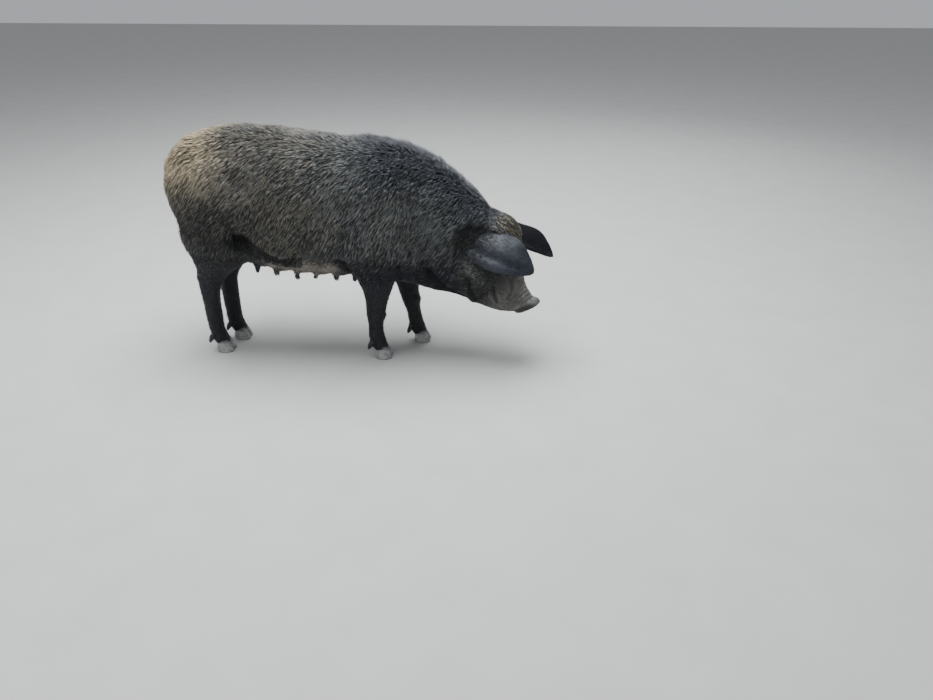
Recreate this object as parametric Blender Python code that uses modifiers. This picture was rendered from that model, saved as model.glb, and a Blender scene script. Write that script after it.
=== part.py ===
"""A life-size mangalica sow, standing with her head lowered.

Metres, +Z up, nose towards +X, her right side at -Y, hooves flat on Z = 0.
The body is modelled whole, as lofts joined and smoothed, clothed in bristle locks,
and parted into nodes with thin cuts.
"""

import math
import random

import bmesh
import bpy
from mathutils import Matrix, Vector
from mathutils.bvhtree import BVHTree

SEED = 30
GAP = 0.0003  # air between nodes that touch
COAT = 0.028  # depth of the bristle coat on back and sides
CORE_SHARE = 0.5  # how much of that depth the body's core fills
SHIFT_X = -0.008  # puts the middle of the box at X = 0

RING = 28  # points round a section of the body
VOXEL = 0.008  # grid on which the lofts are joined
BODY_TRIANGLES = 3300

# Side profile of trunk and neck, skin size: top x, top z, bottom x, bottom z, half width,
# sideways, coat on top, coat at the sides, coat below
TRUNK = (
    (-0.668, 0.655, -0.652, 0.565, 0.055, 0.000, 0.022, 0.018, 0.014),  # rump
    (-0.618, 0.752, -0.602, 0.462, 0.125, 0.000, 0.026, 0.022, 0.012),
    (-0.545, 0.796, -0.545, 0.400, 0.165, 0.000, 0.028, 0.026, 0.010),  # hams
    (-0.430, 0.820, -0.430, 0.356, 0.184, 0.000, 0.028, 0.028, 0.010),  # croup
    (-0.300, 0.817, -0.295, 0.332, 0.192, 0.000, 0.028, 0.028, 0.010),  # flank
    (-0.165, 0.802, -0.150, 0.322, 0.203, 0.000, 0.028, 0.028, 0.010),  # belly
    (-0.035, 0.783, -0.015, 0.318, 0.203, 0.000, 0.028, 0.028, 0.010),
    (0.085, 0.780, 0.100, 0.300, 0.186, 0.000, 0.036, 0.028, 0.010),  # withers
    (0.190, 0.752, 0.200, 0.282, 0.170, -0.002, 0.042, 0.028, 0.012),  # brisket
    (0.285, 0.704, 0.275, 0.268, 0.156, -0.007, 0.045, 0.026, 0.012),
    (0.365, 0.646, 0.345, 0.254, 0.142, -0.015, 0.042, 0.022, 0.012),  # neck
    (0.445, 0.588, 0.410, 0.234, 0.120, -0.026, 0.032, 0.012, 0.008),
    (0.495, 0.530, 0.455, 0.230, 0.090, -0.036, 0.010, 0.006, 0.004),  # inside the head
)
# Head, in its own frame with x along the mouth: top x, top z, bottom x, bottom z, half width,
# share by which the top is slimmer
HEAD = (
    (-0.150, 0.135, -0.110, -0.187, 0.112, 0.05),  # inside the neck
    (-0.090, 0.158, -0.045, -0.176, 0.126, 0.32),  # nape and jowls
    (-0.036, 0.158, 0.015, -0.162, 0.124, 0.38),  # poll
    (0.012, 0.122, 0.055, -0.150, 0.110, 0.36),  # brow
    (0.052, 0.078, 0.090, -0.138, 0.088, 0.24),  # eyes
    (0.090, 0.040, 0.115, -0.126, 0.069, 0.14),
    (0.125, 0.013, 0.138, -0.110, 0.056, 0.04),  # muzzle
    (0.164, 0.000, 0.152, -0.094, 0.046, 0.00),
    (0.198, -0.010, 0.160, -0.078, 0.042, 0.00),  # behind the snout's rim
)
# The snout's rim, leaning forward at its top, in the same measures but the last
SNOUT = (
    (0.180, 0.003, 0.150, -0.080, 0.038), (0.193, 0.005, 0.157, -0.083, 0.046),
    (0.205, 0.002, 0.166, -0.083, 0.047), (0.210, -0.004, 0.172, -0.080, 0.043),
)
# Nostrils: place along the head, radius
NOSTRIL = ((0.168, 0.0040), (0.186, 0.0075), (0.212, 0.0085))
NOSTRIL_APART = 0.017
NOSTRIL_HEIGHT = -0.040
HEAD_PLACE = (0.500, -0.048, 0.368)
HEAD_PITCH = math.radians(38)
HEAD_YAW = math.radians(-17)
HEAD_COAT = 0.006

# Legs: x, y, z, half depth fore and aft, half width
FRONT_LEG = (
    (0.055, 0.105, 0.540, 0.115, 0.064),  # shoulder
    (0.066, 0.112, 0.430, 0.096, 0.064),
    (0.074, 0.108, 0.350, 0.072, 0.052),  # elbow
    (0.076, 0.098, 0.280, 0.053, 0.042),
    (0.070, 0.091, 0.220, 0.040, 0.035),
    (0.066, 0.088, 0.175, 0.035, 0.033),  # knee
    (0.064, 0.087, 0.130, 0.028, 0.027),
    (0.064, 0.087, 0.090, 0.030, 0.030),  # fetlock
    (0.073, 0.087, 0.060, 0.028, 0.032),
    (0.080, 0.087, 0.030, 0.028, 0.032),
)
HIND_LEG = (
    (-0.452, 0.112, 0.600, 0.140, 0.074),  # hip
    (-0.462, 0.122, 0.490, 0.132, 0.076),
    (-0.484, 0.112, 0.410, 0.100, 0.062),  # stifle
    (-0.510, 0.094, 0.350, 0.074, 0.046),
    (-0.540, 0.082, 0.300, 0.051, 0.036),  # hock
    (-0.553, 0.077, 0.250, 0.036, 0.031),
    (-0.554, 0.074, 0.180, 0.033, 0.028),
    (-0.553, 0.072, 0.120, 0.031, 0.027),
    (-0.553, 0.071, 0.088, 0.030, 0.030),  # fetlock
    (-0.543, 0.070, 0.060, 0.028, 0.032),
    (-0.536, 0.070, 0.030, 0.028, 0.032),
)
# Where the middle of each foot stands: x, y
FEET = {
    "front_right": (0.070, -0.087), "front_left": (0.200, 0.058),
    "hind_right": (-0.546, -0.070), "hind_left": (-0.516, 0.040),
}

HOOF_TOP = 0.044
CLAW_LENGTH = 0.060
CLAW_WIDTH = 0.030
CLAW_GAP = 0.005
CLAW_AHEAD = 0.010  # its middle ahead of the leg's
# Up a claw: height, reach ahead and back as shares of its length, share of its width
CLAW_ROWS = (
    (0.000, 0.50, -0.48, 1.00), (0.005, 0.52, -0.50, 1.04), (0.024, 0.40, -0.49, 0.98),
    (0.046, 0.22, -0.44, 0.80),
)
CLAW_SIDES = 10
DEWCLAW_BACK = -0.034  # its middle behind the leg's
DEWCLAW_OUT = 0.017
# Down a dewclaw: ahead, outward, height, radius
DEWCLAW_ROWS = (
    (0.012, 0.000, 0.078, 0.008), (-0.004, 0.002, 0.064, 0.010), (-0.014, 0.003, 0.048, 0.008),
    (-0.019, 0.003, 0.037, 0.003),
)
# Where the body is parted: how high each leg reaches, then a place and the way ahead for each cut
LEG_TOPS = {"front": 0.345, "hind": 0.415}
BODY_CUTS = {
    "head": (Vector((0.432, 0, 0.500)), Vector((0.93, -0.20, -0.36))),
    "neck": (Vector((0.215, 0, 0.500)), Vector((0.97, 0, -0.22))),
}

EYE_RADIUS = 0.0115
EYE_PLACE = (0.046, 0.040)  # along and above the mouth, in the head's frame
LID_THICKNESS = 0.0028

# Mouth line in the head's frame: x, z
MOUTH = (
    (0.200, -0.087), (0.165, -0.086), (0.125, -0.080), (0.090, -0.074), (0.066, -0.066), (0.052, -0.050),
)
MOUTH_OPEN = 0.0018

# Ears: root, tip and the middle of the rear edge
EARS = {
    "right": (Vector((0.424, -0.128, 0.492)), Vector((0.627, -0.158, 0.381)), Vector((0.408, -0.203, 0.390))),
    "left": (Vector((0.500, 0.040, 0.484)), Vector((0.705, 0.070, 0.352)), Vector((0.493, 0.073, 0.386))),
}
EAR_HALF = 0.60  # its half width, as a share of the way from its axis to that middle
EAR_THICKNESS = 0.006
EAR_BULGE = 0.040  # how far its middle stands off the line from root to tip
EAR_FOLD = 0.007
# Along the ear: share of its length, share of its half width, height of its arch
EAR_PROFILE = (
    (-0.05, 0.54, 0.14), (0.03, 0.78, 0.22), (0.14, 0.94, 0.26), (0.30, 1.02, 0.26), (0.47, 0.98, 0.24),
    (0.64, 0.82, 0.20), (0.80, 0.58, 0.18), (0.91, 0.36, 0.16), (0.98, 0.17, 0.14),
)
EAR_STEPS = 7  # points across each face
EAR_INWARD = 1.2  # how much more its upper edge bends in towards the head

# Tail: x, y, z, radius
TAIL = (
    (-0.600, 0.006, 0.700, 0.017), (-0.652, 0.014, 0.706, 0.016), (-0.678, 0.026, 0.680, 0.014),
    (-0.682, 0.040, 0.640, 0.0125), (-0.674, 0.050, 0.590, 0.011), (-0.662, 0.056, 0.545, 0.010),
    (-0.648, 0.058, 0.505, 0.009),
)
TAIL_TUFT = (
    (-0.652, 0.058, 0.518, 0.010), (-0.643, 0.060, 0.490, 0.015), (-0.636, 0.060, 0.450, 0.012),
    (-0.632, 0.059, 0.405, 0.003),
)

# Locks of the coat
ROW = 0.120  # from one row to the next, along the lie
PITCH = 0.104  # from one lock to the next, round the body
LOCK_LENGTH = 0.225
LOCK_WIDTH = 0.112
LOCK_RISE = 0.009  # of the forelock's locks over the brow
LOCK_SINK = 0.010  # depth of a lock's root inside the core
LOCK_ROUNDING = 0.40  # twice the body's radius under a lock
LOCK_SIDE = math.radians(128)  # how far round from the back the locks reach
# Along a lock: share of its length, share of its width, share of its rise, thickness
LOCK_PROFILE = (
    (0.00, 0.60, 0.00, 0.0080), (0.25, 1.00, 0.55, 0.0100),
    (0.58, 0.86, 0.80, 0.0090), (0.83, 0.44, 0.95, 0.0060),
)
# Forelock between the ears, in the head's frame: place along, place across, length
FORELOCK = (
    (-0.100, -0.030, 0.120), (-0.100, 0.034, 0.120), (-0.060, -0.046, 0.095), (-0.064, 0.000, 0.125),
    (-0.060, 0.048, 0.095), (-0.020, -0.024, 0.085), (-0.022, 0.024, 0.090),
)

TEATS = 6
TEAT_LENGTH = 0.022
TEAT_FIRST = -0.375  # x of the hindmost
TEAT_STEP = 0.072
TEAT_OUT = 0.062  # from the middle of the belly
TEAT_ROOT = 0.012  # how deep it is rooted
TEAT_RADII = (0.010, 0.0075, 0.005)


def clear_scene():
    for item in list(bpy.data.objects):
        bpy.data.objects.remove(item, do_unlink=True)


def new_collection(name):
    group = bpy.data.collections.new(name)
    bpy.context.scene.collection.children.link(group)
    return group


def material(name, colour, roughness):
    made = bpy.data.materials.new(name)
    made.use_nodes = True
    shader = made.node_tree.nodes["Principled BSDF"]
    shader.inputs["Base Color"].default_value = (*colour, 1.0)
    shader.inputs["Roughness"].default_value = roughness
    made.diffuse_color = (*colour, 1.0)
    return made


def mesh_object(name, mesh, group):
    made = bpy.data.objects.new(name, mesh)
    group.objects.link(made)
    return made


def discard(item):
    bpy.data.objects.remove(item, do_unlink=True)


def smooth_rows(rows, steps):
    """Rows of sizes with more rows between them, on a Catmull-Rom curve."""
    made = []
    for i in range(len(rows) - 1):
        a, b = rows[max(i - 1, 0)], rows[i]
        c, d = rows[i + 1], rows[min(i + 2, len(rows) - 1)]
        for step in range(steps):
            t = step / steps
            made.append(
                tuple(
                    0.5 * (2 * q + (r - p) * t + (2 * p - 5 * q + 4 * r - s) * t**2
                           + (3 * q - p - 3 * r + s) * t**3)
                    for p, q, r, s in zip(a, b, c, d)
                )
            )
    made.append(tuple(rows[-1]))
    return made


def power(value, exponent):
    return math.copysign(abs(value) ** exponent, value)


def loft(name, rings, group, leaf=False):
    """A closed mesh through rings of equal count; a thin leaf's rings run along one face and back."""
    shape = bmesh.new()
    loops = [[shape.verts.new(p) for p in ring] for ring in rings]
    count = len(rings[0])
    for near, far in zip(loops, loops[1:]):
        for i in range(count):
            j = (i + 1) % count
            if leaf and i >= count // 2:
                shape.faces.new((near[i], near[j], far[i]))
                shape.faces.new((near[j], far[j], far[i]))
            else:
                shape.faces.new((near[i], near[j], far[j]))
                shape.faces.new((near[i], far[j], far[i]))
    for loop, turn in ((loops[0], True), (loops[-1], False)):
        if leaf:
            for i in range(count // 2 - 1):
                shape.faces.new((loop[i], loop[i + 1], loop[-2 - i]))
                shape.faces.new((loop[i], loop[-2 - i], loop[-1 - i]))
            continue
        middle = shape.verts.new(sum((v.co for v in loop), Vector()) / count)
        for i in range(count):
            a, b = loop[i], loop[(i + 1) % count]
            shape.faces.new((b, a, middle) if turn else (a, b, middle))
    bmesh.ops.recalc_face_normals(shape, faces=shape.faces)
    mesh = bpy.data.meshes.new(name)
    shape.to_mesh(mesh)
    shape.free()
    return mesh_object(name, mesh, group)


def body_ring(top, bottom, half_width, slim_top, coat, roundness=0.92):
    """Points round one section. coat is its depth on top, at the sides and below."""
    middle, half = (top + bottom) / 2, (top - bottom) / 2
    up = half.normalized()
    over, beside, under = coat
    ring = []
    for i in range(RING):
        angle = math.tau * i / RING
        rise, out = math.cos(angle), math.sin(angle)
        width = half_width * (1 - slim_top * max(rise, 0)) + beside
        height = half.length + (over if rise > 0 else under)
        point = middle + up * height * power(rise, roundness)
        ring.append(point + Vector((0, width * power(out, roundness), 0)))
    return ring


def trunk_loft(share, group):
    rings = []
    for tx, tz, bx, bz, half_width, side, over, beside, under in smooth_rows(TRUNK, 4):
        coat = (over * share, beside * share, under * share)
        ring = body_ring(Vector((tx, 0, tz)), Vector((bx, 0, bz)), half_width, 0.10, coat)
        rings.append([p + Vector((0, side, 0)) for p in ring])
    return loft("trunk", rings, group)


def head_matrix():
    turn = Matrix.Rotation(HEAD_YAW, 4, "Z") @ Matrix.Rotation(HEAD_PITCH, 4, "Y")
    return Matrix.Translation(HEAD_PLACE) @ turn


def in_head(x, y, z):
    return head_matrix() @ Vector((x, y, z))


def head_loft(group):
    coat = (HEAD_COAT,) * 3
    rings = [
        body_ring(Vector((tx, 0, tz)), Vector((bx, 0, bz)), half_width, slim, coat, 0.95)
        for tx, tz, bx, bz, half_width, slim in smooth_rows(HEAD, 4)
    ]
    made = loft("skull", rings, group)
    made.data.transform(head_matrix())
    return made


def leg_path(pair, word, steps):
    """Places and sizes down a leg, drawn towards where its foot stands."""
    rows = FRONT_LEG if pair == "front" else HIND_LEG
    side = -1 if word == "right" else 1
    foot_x, foot_y = FEET[f"{pair}_{word}"]
    top = rows[0][2]
    for x, y, z, depth, width in smooth_rows(rows, steps):
        drawn = min(1.0, (top - z) / (0.8 * top))
        yield (x + drawn * (foot_x - rows[-1][0]), side * y + drawn * (foot_y - side * rows[-1][1]),
               z, depth, width)


def oval(x, y, z, depth, width):
    return [
        Vector((x + depth * math.cos(math.tau * i / RING), y + width * math.sin(math.tau * i / RING), z))
        for i in range(RING)
    ]


def leg_loft(pair, word, extra, group):
    rings = [oval(x, y, z, depth + extra, width + extra) for x, y, z, depth, width in leg_path(pair, word, 3)]
    return loft(f"{pair}_{word}", rings, group)


def ellipsoid(name, centre, radii, group, rings=10, tilt=None):
    shape = bmesh.new()
    bmesh.ops.create_uvsphere(shape, u_segments=2 * rings, v_segments=rings, radius=1)
    place = Matrix.Translation(centre) @ (tilt or Matrix()) @ Matrix.Diagonal((*radii, 1))
    bmesh.ops.transform(shape, matrix=place, verts=shape.verts)
    mesh = bpy.data.meshes.new(name)
    shape.to_mesh(mesh)
    shape.free()
    return mesh_object(name, mesh, group)


def box(name, low, high, group, turn=None):
    shape = bmesh.new()
    bmesh.ops.create_cube(shape, size=1)
    low, high = Vector(low), Vector(high)
    place = Matrix.Translation((low + high) / 2) @ Matrix.Diagonal((*(high - low), 1))
    bmesh.ops.transform(shape, matrix=(turn or Matrix()) @ place, verts=shape.verts)
    mesh = bpy.data.meshes.new(name)
    shape.to_mesh(mesh)
    shape.free()
    return mesh_object(name, mesh, group)


def tube(name, path, radii, group, count=8, flat=1.0, flat_towards=Vector((0, 1, 0))):
    """A closed tube along a path, flattened towards one direction."""
    rings = []
    for i, (point, radius) in enumerate(zip(path, radii)):
        ahead = (path[min(i + 1, len(path) - 1)] - path[max(i - 1, 0)]).normalized()
        across = (flat_towards - ahead * flat_towards.dot(ahead)).normalized()
        along = ahead.cross(across)
        rings.append([
            point + across * radius * flat * math.cos(math.tau * k / count)
            + along * radius * math.sin(math.tau * k / count)
            for k in range(count)
        ])
    return loft(name, rings, group)


def as_mesh(item):
    """Applies the item's modifiers to its own mesh."""
    bpy.context.view_layer.update()
    graph = bpy.context.evaluated_depsgraph_get()
    made = bpy.data.meshes.new_from_object(item.evaluated_get(graph))
    item.modifiers.clear()
    item.data = made
    return item


def join_all(base, group):
    """One Boolean union of base with all that the group holds."""
    union = base.modifiers.new("join", "BOOLEAN")
    union.operation = "UNION"
    union.operand_type = "COLLECTION"
    union.collection = group
    union.solver = "MANIFOLD"
    as_mesh(base)
    for item in list(group.objects):
        discard(item)
    bpy.data.collections.remove(group)
    return base


def boolean(item, other, operation, keep=False):
    cut = item.modifiers.new("cut", "BOOLEAN")
    cut.operation = operation
    cut.object = other
    cut.solver = "MANIFOLD"
    as_mesh(item)
    if not keep:
        discard(other)
    return item


def copy_of(item, name):
    made = bpy.data.objects.new(name, item.data.copy())
    item.users_collection[0].objects.link(made)
    return made


def grown(item, extra):
    """Moves each point outwards, so that the shape is larger all round."""
    places = [vertex.co + vertex.normal * extra for vertex in item.data.vertices]
    for vertex, place in zip(item.data.vertices, places):
        vertex.co = place
    return item


def keep_largest(item):
    """Removes all but the largest closed surface of a node."""
    shape = bmesh.new()
    shape.from_mesh(item.data)
    shape.faces.ensure_lookup_table()
    seen, islands = set(), []
    for face in shape.faces:
        if face in seen:
            continue
        island, open_faces = [], [face]
        seen.add(face)
        while open_faces:
            now = open_faces.pop()
            island.append(now)
            for edge in now.edges:
                for other in edge.link_faces:
                    if other not in seen:
                        seen.add(other)
                        open_faces.append(other)
        islands.append(island)
    islands.sort(key=lambda faces: sum(f.calc_area() for f in faces), reverse=True)
    for island in islands[1:]:
        bmesh.ops.delete(shape, geom=island, context="FACES")
    loose = [v for v in shape.verts if not v.link_faces]
    bmesh.ops.delete(shape, geom=loose, context="VERTS")
    bmesh.ops.triangulate(shape, faces=shape.faces)
    shape.to_mesh(item.data)
    shape.free()
    return item


def whole_body(share, group):
    """The fleshy body in one piece, smoothed where its parts meet."""
    pieces = new_collection("pieces")
    trunk = trunk_loft(share, group)
    head_loft(pieces)
    for side, word in ((-1, "right"), (1, "left")):
        for pair in ("front", "hind"):
            leg_loft(pair, word, 0.003, pieces)
        extra = COAT * share
        ellipsoid("shoulder", (0.105, side * 0.108, 0.520), (0.110 + extra, 0.076 + extra, 0.200), pieces)
        ellipsoid("ham", (-0.475, side * 0.105, 0.530), (0.125 + extra / 2, 0.082 + extra, 0.190), pieces)
    join_all(trunk, pieces)
    grid = trunk.modifiers.new("grid", "REMESH")
    grid.mode = "VOXEL"
    grid.voxel_size = VOXEL
    soften = trunk.modifiers.new("soften", "SMOOTH")
    soften.factor = 0.5
    soften.iterations = 12
    as_mesh(trunk)
    trunk.data.calc_loop_triangles()
    thin = trunk.modifiers.new("thin", "DECIMATE")
    thin.ratio = BODY_TRIANGLES / len(trunk.data.loop_triangles)
    return as_mesh(trunk)


def lie_of_coat(point, normal):
    """Which way the coat lies: back along the body, down her sides and down the rump."""
    angle = math.atan2(abs(normal.y), normal.z)
    neck = min(1.0, max(0.0, (point.x - 0.05) / 0.30))
    rump = min(1.0, max(0.0, (-0.40 - point.x) / 0.22))
    flank = math.sin(angle) ** 2
    rise = 0.62 * neck * max(0.0, math.cos(angle)) ** 0.5
    fall = 0.80 * flank * (1 - 0.60 * neck) + 1.5 * rump * (0.35 + flank)
    return Vector((-1.0, 0.0, rise - fall)).normalized()


def lie_of_forelock(point, normal):
    return in_head(1, 0, 0) - in_head(0, 0, 0)


def lock(tree, root, lie_at, length, width, height, bend, group):
    """One flat, tapered lock laid over the surface, its root sunk in and its tip clear of it."""
    path = []
    spot, _, _, _ = tree.find_nearest(root)
    gone = 0.0
    for share, wide, rise, thick in (*LOCK_PROFILE, (1.0, 0.0, 1.0, 0.0)):
        while gone < share * length - 1e-6:
            step = min(0.012, share * length - gone)
            near, normal, _, _ = tree.find_nearest(spot)
            lie = lie_at(near, normal)
            lie = (lie - normal * lie.dot(normal)).normalized()
            lie = (lie + normal.cross(lie) * bend * gone / length).normalized()
            spot = near + lie * step
            gone += step
        near, normal, _, _ = tree.find_nearest(spot)
        lie = lie_at(near, normal)
        lie = (lie - normal * lie.dot(normal)).normalized()
        lie = (lie + normal.cross(lie) * bend * share).normalized()
        across = normal.cross(lie).normalized()
        low = near + normal * (rise * (height + LOCK_SINK) - LOCK_SINK - thick)
        path.append((low, normal, across, wide * width / 2, thick))
    shape = bmesh.new()
    loops = []
    for low, normal, across, half, thick in path[:-1]:
        droop = normal * (half * half / LOCK_ROUNDING)
        loops.append([shape.verts.new(low + across * half - droop), shape.verts.new(low + normal * thick),
                      shape.verts.new(low - across * half - droop)])
    tip = shape.verts.new(path[-1][0])
    for near, far in zip(loops, loops[1:]):
        for i in range(3):
            j = (i + 1) % 3
            shape.faces.new((near[i], near[j], far[j]))
            shape.faces.new((near[i], far[j], far[i]))
    for i in range(3):
        shape.faces.new((loops[-1][i], loops[-1][(i + 1) % 3], tip))
    shape.faces.new(loops[0][::-1])
    bmesh.ops.recalc_face_normals(shape, faces=shape.faces)
    mesh = bpy.data.meshes.new("lock")
    shape.to_mesh(mesh)
    shape.free()
    return mesh_object("lock", mesh, group)


def coat_locks(tree, group):
    """Rows of locks from the nape to the rump, each row under the tips of the one ahead of it."""
    sections = smooth_rows(TRUNK, 8)
    middles = [Vector(((s[0] + s[2]) / 2, s[5], (s[1] + s[3]) / 2)) for s in sections]
    travelled, due, row = 0.0, 0.0, 0
    for i in range(len(sections) - 4, 3, -1):
        travelled += (middles[i] - middles[i + 1]).length
        if travelled < due:
            continue
        due += ROW
        row += 1
        section = sections[i]
        up = Vector((section[0] - section[2], 0, section[1] - section[3])).normalized()
        over, beside, under = section[6:9]
        angle = -LOCK_SIDE + (0.5 if row % 2 else 0.0) * PITCH / section[4]
        while angle < LOCK_SIDE:
            aim = (up * math.cos(angle) + Vector((0, 1, 0)) * math.sin(angle)).normalized()
            start = middles[i] + Vector((random.uniform(-0.016, 0.016), 0, 0))
            spot, _, _, _ = tree.ray_cast(start, aim)
            reach = (spot - start).length if spot else section[4]
            if spot:
                level = math.cos(angle)
                depth = (over * max(0, level) + under * max(0, -level)) + beside * abs(math.sin(angle))
                depth = min(depth, max(over, beside)) * (1 - CORE_SHARE)
                size = random.uniform(0.86, 1.14)
                lock(tree, spot, lie_of_coat, LOCK_LENGTH * size, LOCK_WIDTH * random.uniform(0.90, 1.12),
                     depth * random.uniform(0.80, 1.10), random.uniform(-0.35, 0.35), group)
            angle += PITCH / reach * random.uniform(0.92, 1.08)
    for x, y, length in FORELOCK:
        start = in_head(x, y, 0)
        spot, _, _, _ = tree.ray_cast(start, (in_head(x, y, 1) - start).normalized())
        bend = random.uniform(-0.3, 0.3)
        lock(tree, spot, lie_of_forelock, length, 0.6 * LOCK_WIDTH, LOCK_RISE, bend, group)


def surface_tree(item):
    return BVHTree.FromObject(item, bpy.context.evaluated_depsgraph_get())


def side_point(tree, x, z, side):
    """Where the head's surface is at a place given in the head's frame, seen from one side."""
    start = in_head(x, side * 0.4, z)
    aim = (in_head(x, 0, z) - start).normalized()
    point, normal, _, _ = tree.ray_cast(start, aim)
    return point, normal


def mouth_points():
    return [(x, z) for x, z in smooth_rows(MOUTH, 2)]


def add_face(head, group):
    """Snout, nostrils, lips, mouth line, eye sockets and lids. Returns the eyes."""
    tree = surface_tree(head)
    pieces = new_collection("face")
    rim = [
        body_ring(Vector((tx, 0, tz)), Vector((bx, 0, bz)), half, 0, (0, 0, 0), 0.95)
        for tx, tz, bx, bz, half in SNOUT
    ]
    loft("rim", rim, pieces).data.transform(head_matrix())
    for side in (-1, 1):
        path = [side_point(tree, x, z, side)[0] for x, z in mouth_points()[3:]]
        radii = [0.008 * math.sin(math.pi * (0.12 + 0.76 * i / (len(path) - 1))) for i in range(len(path))]
        tube("lip", path, radii, pieces, 8)
    eyes = {}
    for side, word in ((-1, "right"), (1, "left")):
        point, normal = side_point(tree, *EYE_PLACE, side)
        centre = point - normal * 0.0075
        eyes[word] = (centre, normal)
        along = (in_head(1, 0, -0.35) - in_head(0, 0, 0)).normalized()
        along = (along - normal * along.dot(normal)).normalized()
        above = normal.cross(along)
        almond = []
        for k in range(14):
            angle = math.tau * k / 14
            out = normal * (0.0072 - 0.0030 * math.cos(angle) ** 2)
            almond.append(centre + out + along * 0.0125 * math.cos(angle) + above * 0.0072 * math.sin(angle))
        ring_tube("lids", almond, LID_THICKNESS, centre, pieces)
    join_all(head, pieces)
    cuts = new_collection("face_cuts")
    for side in (-1, 1):
        hole = [
            in_head(x, side * (NOSTRIL_APART + (0.2 - x) * 0.15), NOSTRIL_HEIGHT + 0.1 * (0.2 - x))
            for x, _ in NOSTRIL
        ]
        tube("nostril", hole, [radius for _, radius in NOSTRIL], cuts, 10, 1.0, Vector((0, 0, 1)))
    rings = []
    for x, z in mouth_points():
        half = MOUTH_OPEN / 2
        rings.append([in_head(x, -0.12, z - half), in_head(x, 0.12, z - half),
                      in_head(x, 0.12, z + half), in_head(x, -0.12, z + half)])
    loft("mouth", rings, cuts)
    for item in list(cuts.objects):
        boolean(head, item, "DIFFERENCE")
    for word, (centre, normal) in eyes.items():
        boolean(head, ellipsoid("socket", centre, (EYE_RADIUS + 2 * GAP,) * 3, cuts, 7), "DIFFERENCE")
    bpy.data.collections.remove(cuts)
    for word, (centre, normal) in eyes.items():
        ellipsoid(f"eye_{word}", centre, (EYE_RADIUS,) * 3, group, 7)


def ring_tube(name, path, radius, centre, group, count=6):
    """A closed ring of round section through the points of path."""
    shape = bmesh.new()
    loops = []
    for i, point in enumerate(path):
        ahead = (path[(i + 1) % len(path)] - path[i - 1]).normalized()
        out = (point - centre).normalized()
        out = (out - ahead * out.dot(ahead)).normalized()
        side = ahead.cross(out)
        angles = [math.tau * k / count for k in range(count)]
        loops.append([
            shape.verts.new(point + (out * math.cos(angle) + side * math.sin(angle)) * radius)
            for angle in angles
        ])
    for i, loop in enumerate(loops):
        after = loops[(i + 1) % len(loops)]
        for k in range(count):
            j = (k + 1) % count
            shape.faces.new((loop[k], loop[j], after[j], after[k]))
    bmesh.ops.recalc_face_normals(shape, faces=shape.faces)
    mesh = bpy.data.meshes.new(name)
    shape.to_mesh(mesh)
    shape.free()
    return mesh_object(name, mesh, group)


def ear_depth(s, share, arch, width):
    """How far the ear falls away from its crown, s being -1 at its upper edge and 1 at its lower one."""
    fold = EAR_FOLD * math.exp(-((s - 0.45) / 0.22) ** 2) * (1 - max(share, 0))
    inward = 1 + EAR_INWARD * (1 - max(share, 0)) ** 2 if s < 0 else 1
    return -arch * width * s * s * inward - fold


def ear(name, root, tip, rear, group):
    """A drooping leaf, arched across, with a fold along its rear half."""
    length = (tip - root).length
    ahead = (tip - root).normalized()
    across = rear - root - ahead * (rear - root).dot(ahead)
    half = across.length * EAR_HALF
    across.normalize()
    out = across.cross(ahead)
    if out.y * (1 if root.y > 0 else -1) < 0:
        out.negate()
    rings = []
    for share, wide, arch in EAR_PROFILE:
        width = half * wide
        middle = root + ahead * length * share
        middle += out * EAR_BULGE * math.sin(math.pi * min(max(share, 0), 1) * 0.9)
        front, back = [], []
        for k in range(EAR_STEPS):
            s = -1 + 2 * k / (EAR_STEPS - 1)
            rise = (ear_depth(s + 0.02, share, arch, width) - ear_depth(s - 0.02, share, arch, width)) / 0.04
            lean = math.atan2(rise, width)
            facing = out * math.cos(lean) - across * math.sin(lean)
            thick = EAR_THICKNESS * (1 - 0.55 * s * s) * (1.0 - 0.45 * max(share, 0)) / 2
            spot = middle + across * width * s + out * ear_depth(s, share, arch, width)
            front.append(spot + facing * thick)
            back.append(spot - facing * thick)
        rings.append(front + back[::-1])
    return loft(name, rings, group, leaf=True)


def claw(name, x, y, inner, group):
    """One horn claw, flat below, rounded in front, its top tilted like the coronet."""
    rings = []
    for height, front, back, wide in CLAW_ROWS:
        ring = []
        for k in range(CLAW_SIDES):
            angle = math.tau * k / CLAW_SIDES
            reach = math.cos(angle)
            far = CLAW_LENGTH * (front if reach > 0 else -back)
            z = height + (0.010 * min(1, height / 0.036) if reach < -0.3 and height > 0.03 else 0)
            half = CLAW_WIDTH / 2 * wide * (1 - 0.18 * max(reach, 0))
            px = x + far * power(reach, 0.8)
            py = y + half * power(math.sin(angle), 0.8) - inner * 0.003 * max(reach, 0)
            ring.append(Vector((px, py, max(z, 0))))
        rings.append(ring)
    return loft(name, rings, group)


def dewclaw(name, x, y, side, extra, group):
    path = [Vector((x + ahead, y + side * out, z)) for ahead, out, z, _ in DEWCLAW_ROWS]
    return tube(name, path, [row[3] + extra for row in DEWCLAW_ROWS], group, 6)


def half_space(name, point, normal, group, reach=1.2):
    """All that lies ahead of a cut."""
    normal = Vector(normal).normalized()
    turn = Matrix.Translation(point) @ normal.to_track_quat("X", "Z").to_matrix().to_4x4()
    return box(name, (0, -reach, -reach), (2 * reach, reach, reach), group, turn)


def take(body, name, cutter_near, cutter_far, source=None):
    """Parts off what lies in cutter_near. The body loses cutter_far, which is larger by the gap."""
    piece = copy_of(source or body, name)
    boolean(piece, cutter_near, "INTERSECT")
    boolean(body, cutter_far, "DIFFERENCE")
    return keep_largest(piece)


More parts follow.
